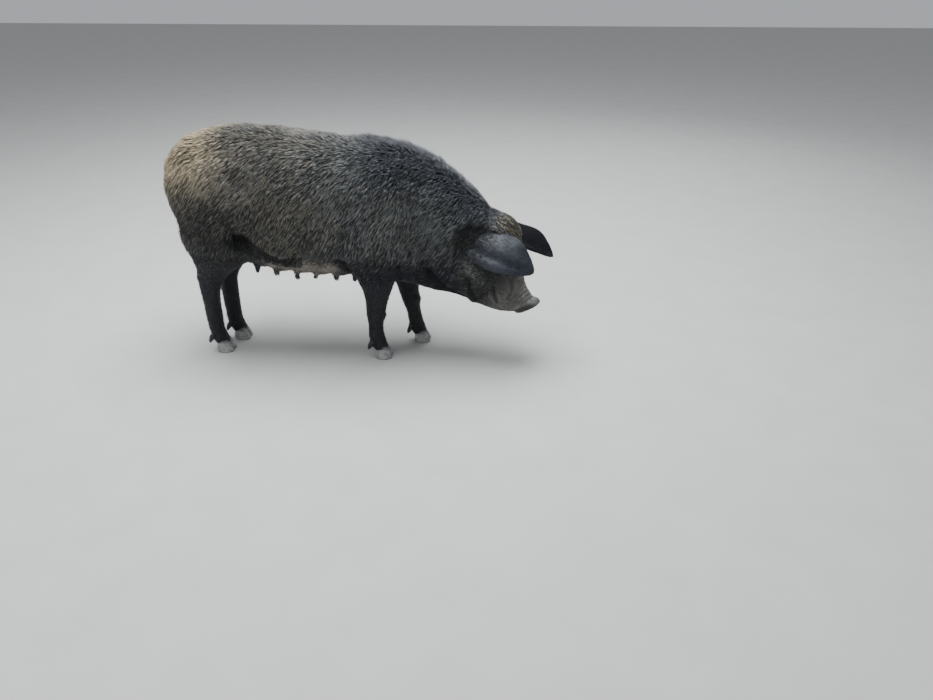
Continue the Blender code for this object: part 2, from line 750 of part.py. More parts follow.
def leg_plug(pair, word, height, extra, group):
    """An upright oval post round a leg, up to a height inside the body."""
    x, y, _, depth, width = next(row for row in leg_path(pair, word, 3) if row[2] <= height + 0.03)
    rings = []
    # Wide below, then drawn in to the leg's own width at its top
    for z, swell in ((-0.05, 1.6), (0.10, 1.6), (height - 0.035, 1.15), (height + extra, 0.96)):
        rings.append(oval(x, y, z, (depth + 0.012) * swell + extra, (width + 0.010) * swell + extra))
    return loft("plug", rings, group)


def finish(item, look):
    item.data.materials.clear()
    item.data.materials.append(look)
    item.data.shade_smooth()
    item.data.set_sharp_from_angle(angle=math.radians(38))


def main():
    clear_scene()
    random.seed(SEED)
    sow = new_collection("mangalica_sow")
    looks = {
        "coat": material("coat", (0.050, 0.048, 0.046), 0.75),
        "skin": material("skin", (0.045, 0.050, 0.060), 0.50),
        "horn": material("horn", (0.200, 0.190, 0.180), 0.55),
        "eye": material("eye", (0.030, 0.018, 0.012), 0.10),
    }
    body = whole_body(CORE_SHARE, sow)
    body.name = "torso"

    # Teats under the belly
    tree = surface_tree(body)
    pieces = new_collection("teats")
    for side in (-1, 1):
        for i in range(TEATS):
            x = TEAT_FIRST + TEAT_STEP * i
            spot, normal, _, _ = tree.ray_cast(Vector((x, side * TEAT_OUT, 0.0)), Vector((0, 0, 1)))
            path = [spot - normal * TEAT_ROOT, spot + normal * TEAT_ROOT / 2, spot + normal * TEAT_LENGTH]
            tube("teat", path, TEAT_RADII, pieces, 5, 1.0, Vector((1, 0, 0)))
    join_all(body, pieces)

    # The coat
    bare = copy_of(body, "bare")
    locks = new_collection("locks")
    coat_locks(surface_tree(body), locks)
    join_all(body, locks)

    # Legs, head and neck
    cutters = new_collection("cutters")
    soles = box("soles", (-1, -1, -0.2), (1, 1, HOOF_TOP + GAP), cutters)
    feet = []
    for side, word in ((-1, "right"), (1, "left")):
        for pair, height in LEG_TOPS.items():
            leg = take(body, f"leg_{pair}_{word}", leg_plug(pair, word, height, 0, cutters),
                       leg_plug(pair, word, height, GAP, cutters), bare)
            boolean(leg, soles, "DIFFERENCE", keep=True)
            feet.append((leg, pair, word, side))
    discard(bare)
    for name, (place, aim) in BODY_CUTS.items():
        behind = place - aim.normalized() * GAP
        take(body, name, half_space("ahead", place, aim, cutters), half_space("ahead", behind, aim, cutters))
    head = bpy.data.objects["head"]
    discard(soles)
    keep_largest(body)

    # Hooves and dewclaws
    for leg, pair, word, side in feet:
        x, y = FEET[f"{pair}_{word}"]
        for inner, place in ((1, "inner"), (-1, "outer")):
            middle = y - side * inner * (CLAW_WIDTH + CLAW_GAP) / 2
            horn = claw(f"hoof_{pair}_{word}_{place}", x + CLAW_AHEAD, middle, side * -inner, sow)
            above = box("top", (x - 0.2, middle - 0.1, HOOF_TOP), (x + 0.2, middle + 0.1, 0.2), cutters)
            boolean(horn, above, "DIFFERENCE")
            spur_x, spur_y = x + DEWCLAW_BACK, y - side * inner * DEWCLAW_OUT
            boolean(leg, dewclaw("clear", spur_x, spur_y, -inner * side, 3 * GAP, cutters), "DIFFERENCE")
            dewclaw(f"dewclaw_{pair}_{word}_{place}", spur_x, spur_y, -inner * side, 0, sow)
        keep_largest(leg)

    add_face(head, sow)

    # Ears
    neck = bpy.data.objects["neck"]
    for word, (root, tip, rear) in EARS.items():
        for carrier in (head, neck):
            clear = grown(ear("clear", root, tip, rear, cutters), 1.5 * GAP)
            boolean(carrier, clear, "DIFFERENCE")
        ear(f"ear_{word}", root, tip, rear, sow)
    keep_largest(head)
    keep_largest(neck)

    # Tail
    path = TAIL
    tail = tube("tail", [Vector(p[:3]) for p in path], [p[3] for p in path], sow, 8)
    tuft = TAIL_TUFT
    boolean(tail, tube("tuft", [Vector(p[:3]) for p in tuft], [p[3] for p in tuft], cutters, 7), "UNION")
    path = [(TAIL[0][0] + 0.001, *TAIL[0][1:]), *TAIL[1:]]
    clear = tube("clear", [Vector(p[:3]) for p in path], [p[3] + 3 * GAP for p in path], cutters, 8)
    boolean(body, clear, "DIFFERENCE")
    keep_largest(body)

    for item in list(sow.objects):
        item.data.transform(Matrix.Translation((SHIFT_X, 0, 0)))
        kind = item.name.split("_")[0]
        look = {"hoof": "horn", "dewclaw": "horn", "eye": "eye", "ear": "skin"}.get(kind, "coat")
        finish(item, looks[look])
    bpy.data.collections.remove(cutters)


main()
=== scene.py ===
import math
from types import SimpleNamespace

import bpy
import bmesh
import numpy as np
from mathutils import Matrix, Vector, noise
from mathutils.bvhtree import BVHTree
from mathutils.kdtree import KDTree


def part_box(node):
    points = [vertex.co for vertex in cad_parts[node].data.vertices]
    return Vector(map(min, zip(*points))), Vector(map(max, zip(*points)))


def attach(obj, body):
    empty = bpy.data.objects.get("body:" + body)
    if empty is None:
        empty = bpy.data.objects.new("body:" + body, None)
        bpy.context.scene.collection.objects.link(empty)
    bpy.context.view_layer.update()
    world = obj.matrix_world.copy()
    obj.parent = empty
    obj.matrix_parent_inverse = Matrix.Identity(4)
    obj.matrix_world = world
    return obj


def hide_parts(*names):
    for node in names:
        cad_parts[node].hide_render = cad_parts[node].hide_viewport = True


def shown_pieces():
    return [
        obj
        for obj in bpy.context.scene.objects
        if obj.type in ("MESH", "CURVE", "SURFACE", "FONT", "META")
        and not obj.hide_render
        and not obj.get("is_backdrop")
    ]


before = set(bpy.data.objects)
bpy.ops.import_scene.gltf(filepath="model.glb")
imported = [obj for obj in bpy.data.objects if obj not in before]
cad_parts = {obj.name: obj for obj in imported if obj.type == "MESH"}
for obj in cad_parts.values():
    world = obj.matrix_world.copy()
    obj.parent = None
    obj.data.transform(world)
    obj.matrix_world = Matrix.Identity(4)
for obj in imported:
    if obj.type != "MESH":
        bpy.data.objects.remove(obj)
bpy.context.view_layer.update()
dice = np.random.default_rng(27)
shiftX = -0.008  # brings the middle of the box to X = 0
shift = Vector((shiftX, 0, 0))
sides = {"right": -1, "left": 1}  # which way Y runs

# The camera stands to her right, a little above her back.
cameraSizes = {"place": (0.542, -2.59, 1.37), "pitch": 28.0, "turn": 3.6, "lens": 29.09, "sensor": 36.0}
cameraData = bpy.data.cameras.new("camera")
cameraData.lens = cameraSizes["lens"]
cameraData.sensor_width = cameraSizes["sensor"]
camera = bpy.data.objects.new("camera", cameraData)
camera.location = cameraSizes["place"]
camera.rotation_euler = (math.radians(90 - cameraSizes["pitch"]), 0, math.radians(cameraSizes["turn"]))
bpy.context.scene.collection.objects.link(camera)
bpy.context.scene.camera = camera
print("camera")


def ease(low, high, value):
    t = np.clip((np.asarray(value, float) - low) / (high - low), 0, 1)
    return t * t * (3 - 2 * t)


def smoothRows(rows, steps):
    made = []
    for i in range(len(rows) - 1):
        a, b = rows[max(i - 1, 0)], rows[i]
        c, d = rows[i + 1], rows[min(i + 2, len(rows) - 1)]
        for step in range(steps):
            t = step / steps
            made.append(tuple(
                0.5 * (2 * q + (r - p) * t + (2 * p - 5 * q + 4 * r - s) * t ** 2
                       + (3 * q - p - 3 * r + s) * t ** 3)
                for p, q, r, s in zip(a, b, c, d)))
    made.append(tuple(rows[-1]))
    return made


def power(value, exponent):
    return math.copysign(abs(value) ** exponent, value)


def sideFaces(rings, count):
    faces = []
    for k in range(rings - 1):
        low, high = k * count, (k + 1) * count
        for i in range(count):
            j = (i + 1) % count
            faces.append((low + i, low + j, high + j, high + i))
    return faces


def closedLoft(rings):
    count, last = len(rings[0]), len(rings) - 1
    caps = [tuple(range(count))[::-1], tuple(last * count + i for i in range(count))]
    return [tuple(p) for ring in rings for p in ring], sideFaces(len(rings), count) + caps


def gather(shapes):
    points, faces = [], []
    for more, sides in shapes:
        start = len(points)
        points += [tuple(p) for p in more]
        faces += [tuple(start + i for i in side) for side in sides]
    return points, faces


# A mesh that is given its material is smoothed too.
def meshObject(name, points, faces, material=None):
    mesh = bpy.data.meshes.new(name)
    mesh.from_pydata(points, [], faces)
    shape = bmesh.new()
    shape.from_mesh(mesh)
    bmesh.ops.recalc_face_normals(shape, faces=shape.faces)
    shape.to_mesh(mesh)
    shape.free()
    if material:
        shade(mesh)
        mesh.materials.append(material)
    made = bpy.data.objects.new(name, mesh)
    bpy.context.scene.collection.objects.link(made)
    return made


def regrid(item, size, rounds):
    grid = item.modifiers.new("grid", "REMESH")
    grid.mode = "VOXEL"
    grid.voxel_size = size
    soften = item.modifiers.new("soften", "SMOOTH")
    soften.factor = 0.5
    soften.iterations = rounds
    bpy.context.view_layer.update()
    made = bpy.data.meshes.new_from_object(item.evaluated_get(bpy.context.evaluated_depsgraph_get()))
    item.modifiers.clear()
    item.data = made


def pointsOf(mesh):
    flat = np.empty(len(mesh.vertices) * 3)
    mesh.vertices.foreach_get("co", flat)
    return flat.reshape(-1, 3)


def normalsOf(mesh):
    flat = np.empty(len(mesh.vertices) * 3)
    mesh.vertex_normals.foreach_get("vector", flat)
    return flat.reshape(-1, 3)


def setPoints(mesh, points):
    mesh.vertices.foreach_set("co", np.ascontiguousarray(points, dtype=np.float32).ravel())
    mesh.update()


def paint(mesh, name, colours):
    layer = mesh.color_attributes.new(name, "FLOAT_COLOR", "POINT")
    full = np.ones((len(colours), 4), dtype=np.float32)
    full[:, :3] = colours
    layer.data.foreach_set("color", full.ravel())


def shade(mesh):
    mesh.polygons.foreach_set("use_smooth", np.ones(len(mesh.polygons), dtype=bool))


def unit(vectors):
    return vectors / np.maximum(np.linalg.norm(vectors, axis=1, keepdims=True), 1e-9)


def linear(red, green, blue):
    values = np.array((red, green, blue), float) / 255
    return np.where(values <= 0.04045, values / 12.92, ((values + 0.055) / 1.055) ** 2.4)


def noiseAt(points, scale, seed=0.0):
    return np.array([noise.noise(Vector((p[0] * scale + seed, p[1] * scale, p[2] * scale))) for p in points])


# The sow's own sizes, at the skin: trunk rows are top x, z, bottom x, z, half width, sideways,
# and the depth of the coat on top, at the sides and below.
trunkRows = (
    (-0.668, 0.655, -0.652, 0.565, 0.055, 0.000, 0.022, 0.018, 0.014),
    (-0.618, 0.752, -0.602, 0.462, 0.125, 0.000, 0.026, 0.022, 0.012),
    (-0.545, 0.796, -0.545, 0.400, 0.165, 0.000, 0.028, 0.026, 0.010),
    (-0.430, 0.820, -0.430, 0.356, 0.184, 0.000, 0.028, 0.028, 0.010),
    (-0.300, 0.817, -0.295, 0.332, 0.192, 0.000, 0.028, 0.028, 0.010),
    (-0.165, 0.802, -0.150, 0.322, 0.203, 0.000, 0.028, 0.028, 0.010),
    (-0.035, 0.783, -0.015, 0.318, 0.203, 0.000, 0.028, 0.028, 0.010),
    (0.085, 0.780, 0.100, 0.300, 0.186, 0.000, 0.036, 0.028, 0.010),
    (0.190, 0.752, 0.200, 0.282, 0.170, -0.002, 0.042, 0.028, 0.012),
    (0.285, 0.704, 0.275, 0.268, 0.156, -0.007, 0.045, 0.026, 0.012),
    (0.365, 0.646, 0.345, 0.254, 0.142, -0.015, 0.042, 0.022, 0.012),
    (0.445, 0.588, 0.410, 0.234, 0.120, -0.026, 0.032, 0.012, 0.008),
    (0.495, 0.530, 0.455, 0.230, 0.090, -0.036, 0.010, 0.006, 0.004),
)
headRows = (
    (-0.150, 0.135, -0.110, -0.187, 0.112, 0.05),
    (-0.090, 0.158, -0.045, -0.176, 0.126, 0.32),
    (-0.036, 0.158, 0.015, -0.162, 0.124, 0.38),
    (0.012, 0.122, 0.055, -0.150, 0.110, 0.36),
    (0.052, 0.078, 0.090, -0.138, 0.088, 0.24),
    (0.090, 0.040, 0.115, -0.126, 0.069, 0.14),
    (0.125, 0.013, 0.138, -0.110, 0.056, 0.04),
    (0.164, 0.000, 0.152, -0.094, 0.046, 0.00),
    (0.198, -0.010, 0.160, -0.078, 0.042, 0.00),
)
headPlace = Vector((0.500, -0.048, 0.368))
headTurn = (Matrix.Rotation(math.radians(-17), 4, "Z") @ Matrix.Rotation(math.radians(38), 4, "Y")).to_3x3()
headAxes = np.array(headTurn)
legRows = {
    "front": (
        (0.055, 0.105, 0.540, 0.115, 0.064), (0.066, 0.112, 0.430, 0.096, 0.064),
        (0.074, 0.108, 0.350, 0.072, 0.052), (0.076, 0.098, 0.280, 0.053, 0.042),
        (0.070, 0.091, 0.220, 0.040, 0.035), (0.066, 0.088, 0.175, 0.035, 0.033),
        (0.064, 0.087, 0.130, 0.028, 0.027), (0.064, 0.087, 0.090, 0.030, 0.030),
        (0.073, 0.087, 0.060, 0.028, 0.032), (0.080, 0.087, 0.030, 0.028, 0.032),
    ),
    "hind": (
        (-0.452, 0.112, 0.600, 0.140, 0.074), (-0.462, 0.122, 0.490, 0.132, 0.076),
        (-0.484, 0.112, 0.410, 0.100, 0.062), (-0.510, 0.094, 0.350, 0.074, 0.046),
        (-0.540, 0.082, 0.300, 0.051, 0.036), (-0.553, 0.077, 0.250, 0.036, 0.031),
        (-0.554, 0.074, 0.180, 0.033, 0.028), (-0.553, 0.072, 0.120, 0.031, 0.027),
        (-0.553, 0.071, 0.088, 0.030, 0.030), (-0.543, 0.070, 0.060, 0.028, 0.032),
        (-0.536, 0.070, 0.030, 0.028, 0.032),
    ),
}
feet = {
    "front_right": (0.070, -0.087), "front_left": (0.200, 0.058),
    "hind_right": (-0.546, -0.070), "hind_left": (-0.516, 0.040),
}
mouthLine = (
    (0.200, -0.087), (0.165, -0.086), (0.125, -0.080), (0.090, -0.074), (0.066, -0.066), (0.052, -0.050),
)
tailRows = (
    (-0.600, 0.006, 0.700, 0.017), (-0.652, 0.014, 0.706, 0.016), (-0.678, 0.026, 0.680, 0.014),
    (-0.682, 0.040, 0.640, 0.0125), (-0.674, 0.050, 0.590, 0.011), (-0.662, 0.056, 0.545, 0.010),
    (-0.648, 0.058, 0.505, 0.008), (-0.641, 0.059, 0.480, 0.005),
)
earPlaces = {
    "right": (Vector((0.424, -0.128, 0.492)), Vector((0.627, -0.158, 0.381)), Vector((0.408, -0.203, 0.390))),
    "left": (Vector((0.500, 0.040, 0.484)), Vector((0.705, 0.070, 0.352)), Vector((0.493, 0.073, 0.386))),
}
earRows = (
    (-0.05, 0.54, 0.14), (0.03, 0.78, 0.22), (0.14, 0.94, 0.26), (0.30, 1.02, 0.26), (0.47, 0.98, 0.24),
    (0.64, 0.82, 0.20), (0.80, 0.58, 0.18), (0.91, 0.36, 0.16), (0.98, 0.17, 0.14),
)


def inHead(points):
    return [headPlace + headTurn @ point for point in points]


def toHead(points):
    return (points - np.array(headPlace)) @ headAxes


def turns(count):
    return [(math.cos(math.tau * i / count), math.sin(math.tau * i / count)) for i in range(count)]


# A ring through a row's top and bottom. The fifth value is half its width.
def bodyRing(row, slimTop, count, roundness):
    top, bottom = Vector((row[0], 0, row[1])), Vector((row[2], 0, row[3]))
    middle, half = (top + bottom) / 2, (top - bottom) / 2
    up = half.normalized()
    ring = []
    for rise, out in turns(count):
        width = row[4] * (1 - slimTop * max(rise, 0))
        ring.append(middle + up * half.length * power(rise, roundness)
                    + Vector((0, width * power(out, roundness), 0)))
    return ring


def ball(centre, radii, count=20):
    rings = []
    for k in range(1, count):
        wide, high = math.sin(math.pi * k / count), math.cos(math.pi * k / count)
        rings.append([Vector(centre) + Vector((radii[0] * wide * c, radii[1] * wide * s, radii[2] * high))
                      for c, s in turns(count)])
    return closedLoft(rings)


def tube(path, radii, count=12):
    rings = []
    for i, (point, radius) in enumerate(zip(path, radii)):
        ahead = (path[min(i + 1, len(path) - 1)] - path[max(i - 1, 0)]).normalized()
        across = ahead.orthogonal() if abs(ahead.y) > 0.9 else (Vector((0, 1, 0)) - ahead * ahead.y)
        across.normalize()
        along = ahead.cross(across)
        rings.append([point + (across * c + along * s) * radius for c, s in turns(count)])
    return closedLoft(rings)


def legRings(pair, word, count=28):
    rows, side = legRows[pair], sides[word]
    footX, footY = feet[f"{pair}_{word}"]
    top = rows[0][2]
    rings = []
    for x, y, z, depth, width in smoothRows(rows, 4):
        drawn = min(1.0, (top - z) / (0.8 * top))  # how far the leg is drawn towards its foot
        px = x + drawn * (footX - rows[-1][0])
        py = side * y + drawn * (footY - side * rows[-1][1])
        rings.append([Vector((px + depth * c, py + width * s, z)) for c, s in turns(count)])
    return rings


bellyX, bellyZ = zip(*sorted((row[2], row[3]) for row in trunkRows))


def bellyAt(x):
    return np.interp(x, bellyX, bellyZ)


# One skin for all of the flesh: lofts joined on a grid, smoothed, then worked in detail.
skinSizes = {"coarse": 0.006, "coarseRounds": 20, "fine": 0.0046, "fineRounds": 5, "trunkRound": 0.92,
             "headRound": 0.95, "slimTop": 0.10, "around": 48}
muscles = (  # middles and radii of shoulder and ham
    ((0.105, 0.108, 0.520), (0.110, 0.076, 0.200)),
    ((-0.475, 0.105, 0.530), (0.125, 0.082, 0.190)),
)
shapes = [
    closedLoft([[p + Vector((0, row[5], 0)) for p in bodyRing(row, skinSizes["slimTop"], skinSizes["around"],
                                                              skinSizes["trunkRound"])]
                for row in smoothRows(trunkRows, 6)]),
    closedLoft([inHead(bodyRing(row, row[5], skinSizes["around"], skinSizes["headRound"]))
                for row in smoothRows(headRows, 6)]),
]
for word, side in sides.items():
    shapes += [closedLoft(legRings(pair, word)) for pair in legRows]
    shapes += [ball((x, side * y, z), radii) for (x, y, z), radii in muscles]
skin = meshObject("skin", *gather(shapes))
regrid(skin, skinSizes["coarse"], skinSizes["coarseRounds"])
print("skin joined", len(skin.data.vertices))

# Snout rim, tail, teats, joints and eye bulges are joined on a finer grid.
snoutRows = (
    (0.180, 0.002, 0.152, -0.079, 0.040), (0.192, 0.006, 0.158, -0.083, 0.0455),
    (0.201, 0.006, 0.165, -0.0845, 0.0475), (0.208, 0.002, 0.172, -0.083, 0.0450),
)
tailPath = smoothRows(tailRows, 3)
detail = [
    (pointsOf(skin.data).tolist(), [tuple(f.vertices) for f in skin.data.polygons]),
    closedLoft([inHead(bodyRing(row, 0, 40, skinSizes["headRound"])) for row in snoutRows]),
    tube([Vector(row[:3]) for row in tailPath], [row[3] for row in tailPath], 14),
]
udder = {
    "from": -0.40, "length": 0.45, "steps": 40, "out": 0.058, "above": 0.028, "wave": 0.0035, "radius": 0.030,
    "teats": 6, "first": -0.375, "apart": 0.072, "reach": 0.028, "sway": 0.012, "root": 0.003,
    "radii": (0.017, 0.0120, 0.0086, 0.0068),
}
for side in sides.values():
    path, radii = [], []
    for k in range(udder["steps"] + 1):
        x = udder["from"] + udder["length"] * k / udder["steps"]
        wave = udder["wave"] * math.sin(math.tau * (x + 0.015) / udder["apart"])
        path.append(Vector((x, side * udder["out"], bellyAt(x) + udder["above"] - wave)))
        radii.append(udder["radius"] * math.sin(math.pi * (0.06 + 0.88 * k / udder["steps"])) ** 0.4)
    detail.append(tube(path, radii, 20))
    for i in range(udder["teats"]):
        x = udder["first"] + udder["apart"] * i
        low = bellyAt(x) + udder["root"]
        reach = udder["reach"] * (0.80 + 0.35 * dice.random())
        sway = udder["sway"] * (dice.random() - 0.5)
        path = [Vector((x + sway * share, side * out, z)) for share, out, z in (
            (0, 0.060, low + 0.010), (0.2, 0.061, low - 0.004),
            (0.6, 0.062, low - reach * 0.6), (1, 0.062, low - reach))]
        detail.append(tube(path, udder["radii"], 14))
eyeCentres = {}
for word, side in sides.items():
    low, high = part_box(f"eye_{word}")
    eyeCentres[word] = (Vector(low) + Vector(high)) / 2 - shift
    inward = headTurn @ Vector((0, -side * 0.010, 0))
    detail.append(ball(eyeCentres[word] + inward, (0.026, 0.019, 0.021), 14))
joints = {  # height in the leg, place beside the leg's middle, radii
    "front": (0.172, (0.006, 0, 0), (0.033, 0.034, 0.030)),
    "hind": (0.300, (-0.030, 0, 0.004), (0.024, 0.020, 0.036)),
}
for name, (footX, footY) in feet.items():
    pair, word = name.split("_")
    height, beside, radii = joints[pair]
    ring = min(legRings(pair, word), key=lambda ring: abs(ring[0].z - height))
    detail.append(ball(sum(ring, Vector()) / len(ring) + Vector(beside), radii, 16))
    for side in (-1, 1):
        detail.append(ball((footX - 0.022, footY + side * 0.016, 0.068), (0.016, 0.013, 0.017), 10))
joined = meshObject("detail", *gather(detail))
skin.data = joined.data
bpy.data.objects.remove(joined, do_unlink=True)
regrid(skin, skinSizes["fine"], skinSizes["fineRounds"])
print("skin detailed", len(skin.data.vertices))

# The head is divided once more for its finer folds.
finerFrom = {"head": -0.05, "body": 0.44}  # along the head and along the body
shape = bmesh.new()
shape.from_mesh(skin.data)
into = Matrix.Translation(headPlace) @ headTurn.to_4x4()
into.invert()
chosen = []
for face in shape.faces:
    middle = face.calc_center_median()
    if (into @ middle).x > finerFrom["head"] and middle.x > finerFrom["body"]:
        chosen.append(face)
edges = {edge for face in chosen for edge in face.edges}
bmesh.ops.subdivide_edges(shape, edges=list(edges), cuts=1, use_grid_fill=True)
shape.to_mesh(skin.data)
shape.free()
print("head divided", len(skin.data.vertices))


def lineDistance(x, z, line):
    best = np.full(len(x), np.inf)
    for (ax, az), (bx, bz) in zip(line, line[1:]):
        dx, dz = bx - ax, bz - az
        t = np.clip(((x - ax) * dx + (z - az) * dz) / (dx * dx + dz * dz), 0, 1)
        best = np.minimum(best, np.hypot(x - ax - t * dx, z - az - t * dz))
    return best


def earDistance(points):
    best = np.full(len(points), np.inf)
    for root, tip, _ in earPlaces.values():
        start, way = np.array(root), np.array(tip - root) * 0.45
        share = np.clip((points - start) @ way / (way @ way), 0, 1)
        best = np.minimum(best, np.linalg.norm(points - start - share[:, None] * way, axis=1))
    return best


# A furrow with a low lip along each side.
def crease(distance, width, depth, lip=0.35):
    raised = lip * np.exp(-((distance - 2.2 * width) / width) ** 2)
    return depth * (-np.exp(-(distance / width) ** 2) + raised)


# Folds and creases, pressed into the skin along its normals. Lines run in x and z, or in those of the head.
throatLine = ((0.262, 0.385), (0.285, 0.345), (0.302, 0.315), (0.340, 0.285), (0.385, 0.262))
elbowLine = ((-0.030, 0.430), (-0.022, 0.370), (-0.010, 0.325))
breastLine = ((0.165, 0.400), (0.158, 0.350), (0.150, 0.310))
flankLine = (
    (-0.345, 0.526), (-0.320, 0.492), (-0.287, 0.460), (-0.250, 0.446), (-0.206, 0.444), (-0.188, 0.462),
    (-0.176, 0.484),
)
headFolds = (  # line, width, depth
    (((-0.040, -0.048), (-0.014, -0.080), (0.030, -0.112)), 0.0080, 0.0075),
    (((0.044, -0.018), (0.064, -0.046), (0.092, -0.076)), 0.0055, 0.0048),
    (((0.046, -0.050), (0.034, -0.066), (0.040, -0.094)), 0.0050, 0.0034),
    (((0.086, -0.032), (0.060, -0.030), (0.036, -0.044)), 0.0042, 0.0026),
    (((0.010, 0.006), (0.020, -0.030), (0.018, -0.070)), 0.0065, 0.0024),
    (((0.078, 0.022), (0.100, -0.006), (0.112, -0.038)), 0.0060, 0.0022),
)
snout = {"front": 0.190, "below": 0.040, "slant": 0.42, "frontSlant": 0.45, "apart": 0.0175,
         "nostrilDepth": 0.017, "dish": 0.0030}


def pastSnout(hx, hz, slant=snout["slant"]):
    return hx - snout["front"] - slant * (hz + snout["below"])  # how far ahead of the slanting disc


points, normals = pointsOf(skin.data), normalsOf(skin.data)
x, y, z = points.T
hx, hy, hz = toHead(points).T
onHead = ease(-0.16, -0.10, hx) * (x > 0.36)
push = 0.0014 * noiseAt(points, 16) + 0.0020 * noiseAt(points, 5.5, 3.1) * (1 - onHead)
push *= ease(0.02, 0.12, z)
mouth = lineDistance(hx, hz, smoothRows(mouthLine, 4))
push += crease(mouth, 0.0030, 0.0042, 0.5) * onHead * (hx > 0.03) * (np.abs(hy) > 0.012)
for line, width, depth in headFolds:
    push += crease(lineDistance(hx, hz, line), width, depth) * onHead * (np.abs(hy) > 0.02)
ridges = ease(0.095, 0.125, hx) * ease(-0.022, -0.034, pastSnout(hx, hz)) * ease(-0.080, -0.030, hz)
push += 0.0011 * np.sin(math.tau * (hx + 0.18 * np.abs(hy)) / 0.0135) * ridges * onHead
for line, width, depth, lip, where in (
        (throatLine, 0.014, 0.015, 0.5, ease(0.05, 0.09, np.abs(y + 0.01))),
        (elbowLine, 0.013, 0.013, 0.3, ease(0.10, 0.13, np.abs(y))),
        (breastLine, 0.012, 0.008, 0.3, ease(0.08, 0.12, -y))):
    push += crease(lineDistance(x, z, line), width, depth, lip) * where
flank = lineDistance(x, z, flankLine)
beyond = (z < np.interp(x, *zip(*flankLine))) & (x > -0.40) & (x < -0.17)
fold = np.where(beyond, -0.024 * ease(0.0, 0.020, flank) * ease(0.10, 0.04, flank), 0.0)
fold *= ease(-0.17, -0.22, x)
fold += 0.010 * np.exp(-(flank / 0.022) ** 2) * ~beyond
push += fold * ease(0.10, 0.15, np.abs(y))
pastern = ease(0.050, 0.060, z) * ease(0.088, 0.076, z)
push += 0.0008 * np.sin(math.tau * z / 0.0085) * pastern
points = points + normals * push[:, None]

# Nostrils go straight into the disc, and the lids open over each eye.
hx, hy, hz = toHead(points).T
beside = np.abs(hy) - snout["apart"]
hole = (beside / 0.0078) ** 2 + ((hz + snout["below"] + 0.15 * beside) / 0.0098) ** 2
front = ease(-0.012, -0.004, pastSnout(hx, hz, snout["frontSlant"]))
sink = np.exp(-hole ** 2) * front
dish = np.clip(1 - (hy / 0.040) ** 2 - ((hz + snout["below"]) / 0.040) ** 2, 0, 1) * front
forward = np.array(headTurn @ Vector((1, 0, 0)))
points -= (snout["nostrilDepth"] * sink + snout["dish"] * dish)[:, None] * forward
opening = {"wide": 0.0118, "high": 0.0066, "ball": 0.0035, "lid": 0.0132}
eyeAxes = {}
for word, centre in eyeCentres.items():
    axis = (headTurn @ Vector((0.30, sides[word] * 0.93, 0.20))).normalized()
    along = headTurn @ Vector((1, 0, -0.30))
    along = (along - axis * along.dot(axis)).normalized()
    above = axis.cross(along)
    if above.z < 0:
        above.negate()
    eyeAxes[word] = (axis, along, above)
    offset = points - np.array(centre)
    a, b, c = offset @ np.array(along), offset @ np.array(above), offset @ np.array(axis)
    almond = (a / opening["wide"]) ** 2 + (b / (opening["high"] - 0.10 * np.abs(a) * (b > 0))) ** 2
    inside = ease(1.25, 0.75, almond) * (c > -0.002)
    points -= np.array(axis) * (np.clip(c - opening["ball"], 0, 0.03) * inside)[:, None]
    shell = np.linalg.norm(offset, axis=1)
    lid = (ease(2.6, 1.2, almond) * (1 - inside) * (c > 0))[:, None]
    outward = offset / np.maximum(shell, 1e-6)[:, None]
    raised = np.array(centre) + outward * np.maximum(shell, opening["lid"])[:, None]
    points = points * (1 - lid) + raised * lid
points[:, 2] = np.maximum(points[:, 2], 0.030)
setPoints(skin.data, points)
shade(skin.data)
print("folds")


# Marks of the coat, and the painted shade of its hollows and creases, the same on skin and hair. Colours are
# given as they look on a screen.
palette = {
    "dark": linear(46, 47, 48), "grey": linear(150, 151, 148), "buff": linear(229, 210, 174),
    "blue": linear(46, 49, 55), "slate": linear(88, 93, 102), "ochre": linear(138, 129, 109),
    "olive": linear(136, 131, 111), "ash": linear(116, 121, 119), "mist": linear(140, 145, 148),
    "leg": linear(24, 28, 35), "udder": linear(82, 76, 70), "muzzle": linear(136, 136, 128),
    "rim": linear(136, 136, 138), "brown": linear(76, 70, 60),
}


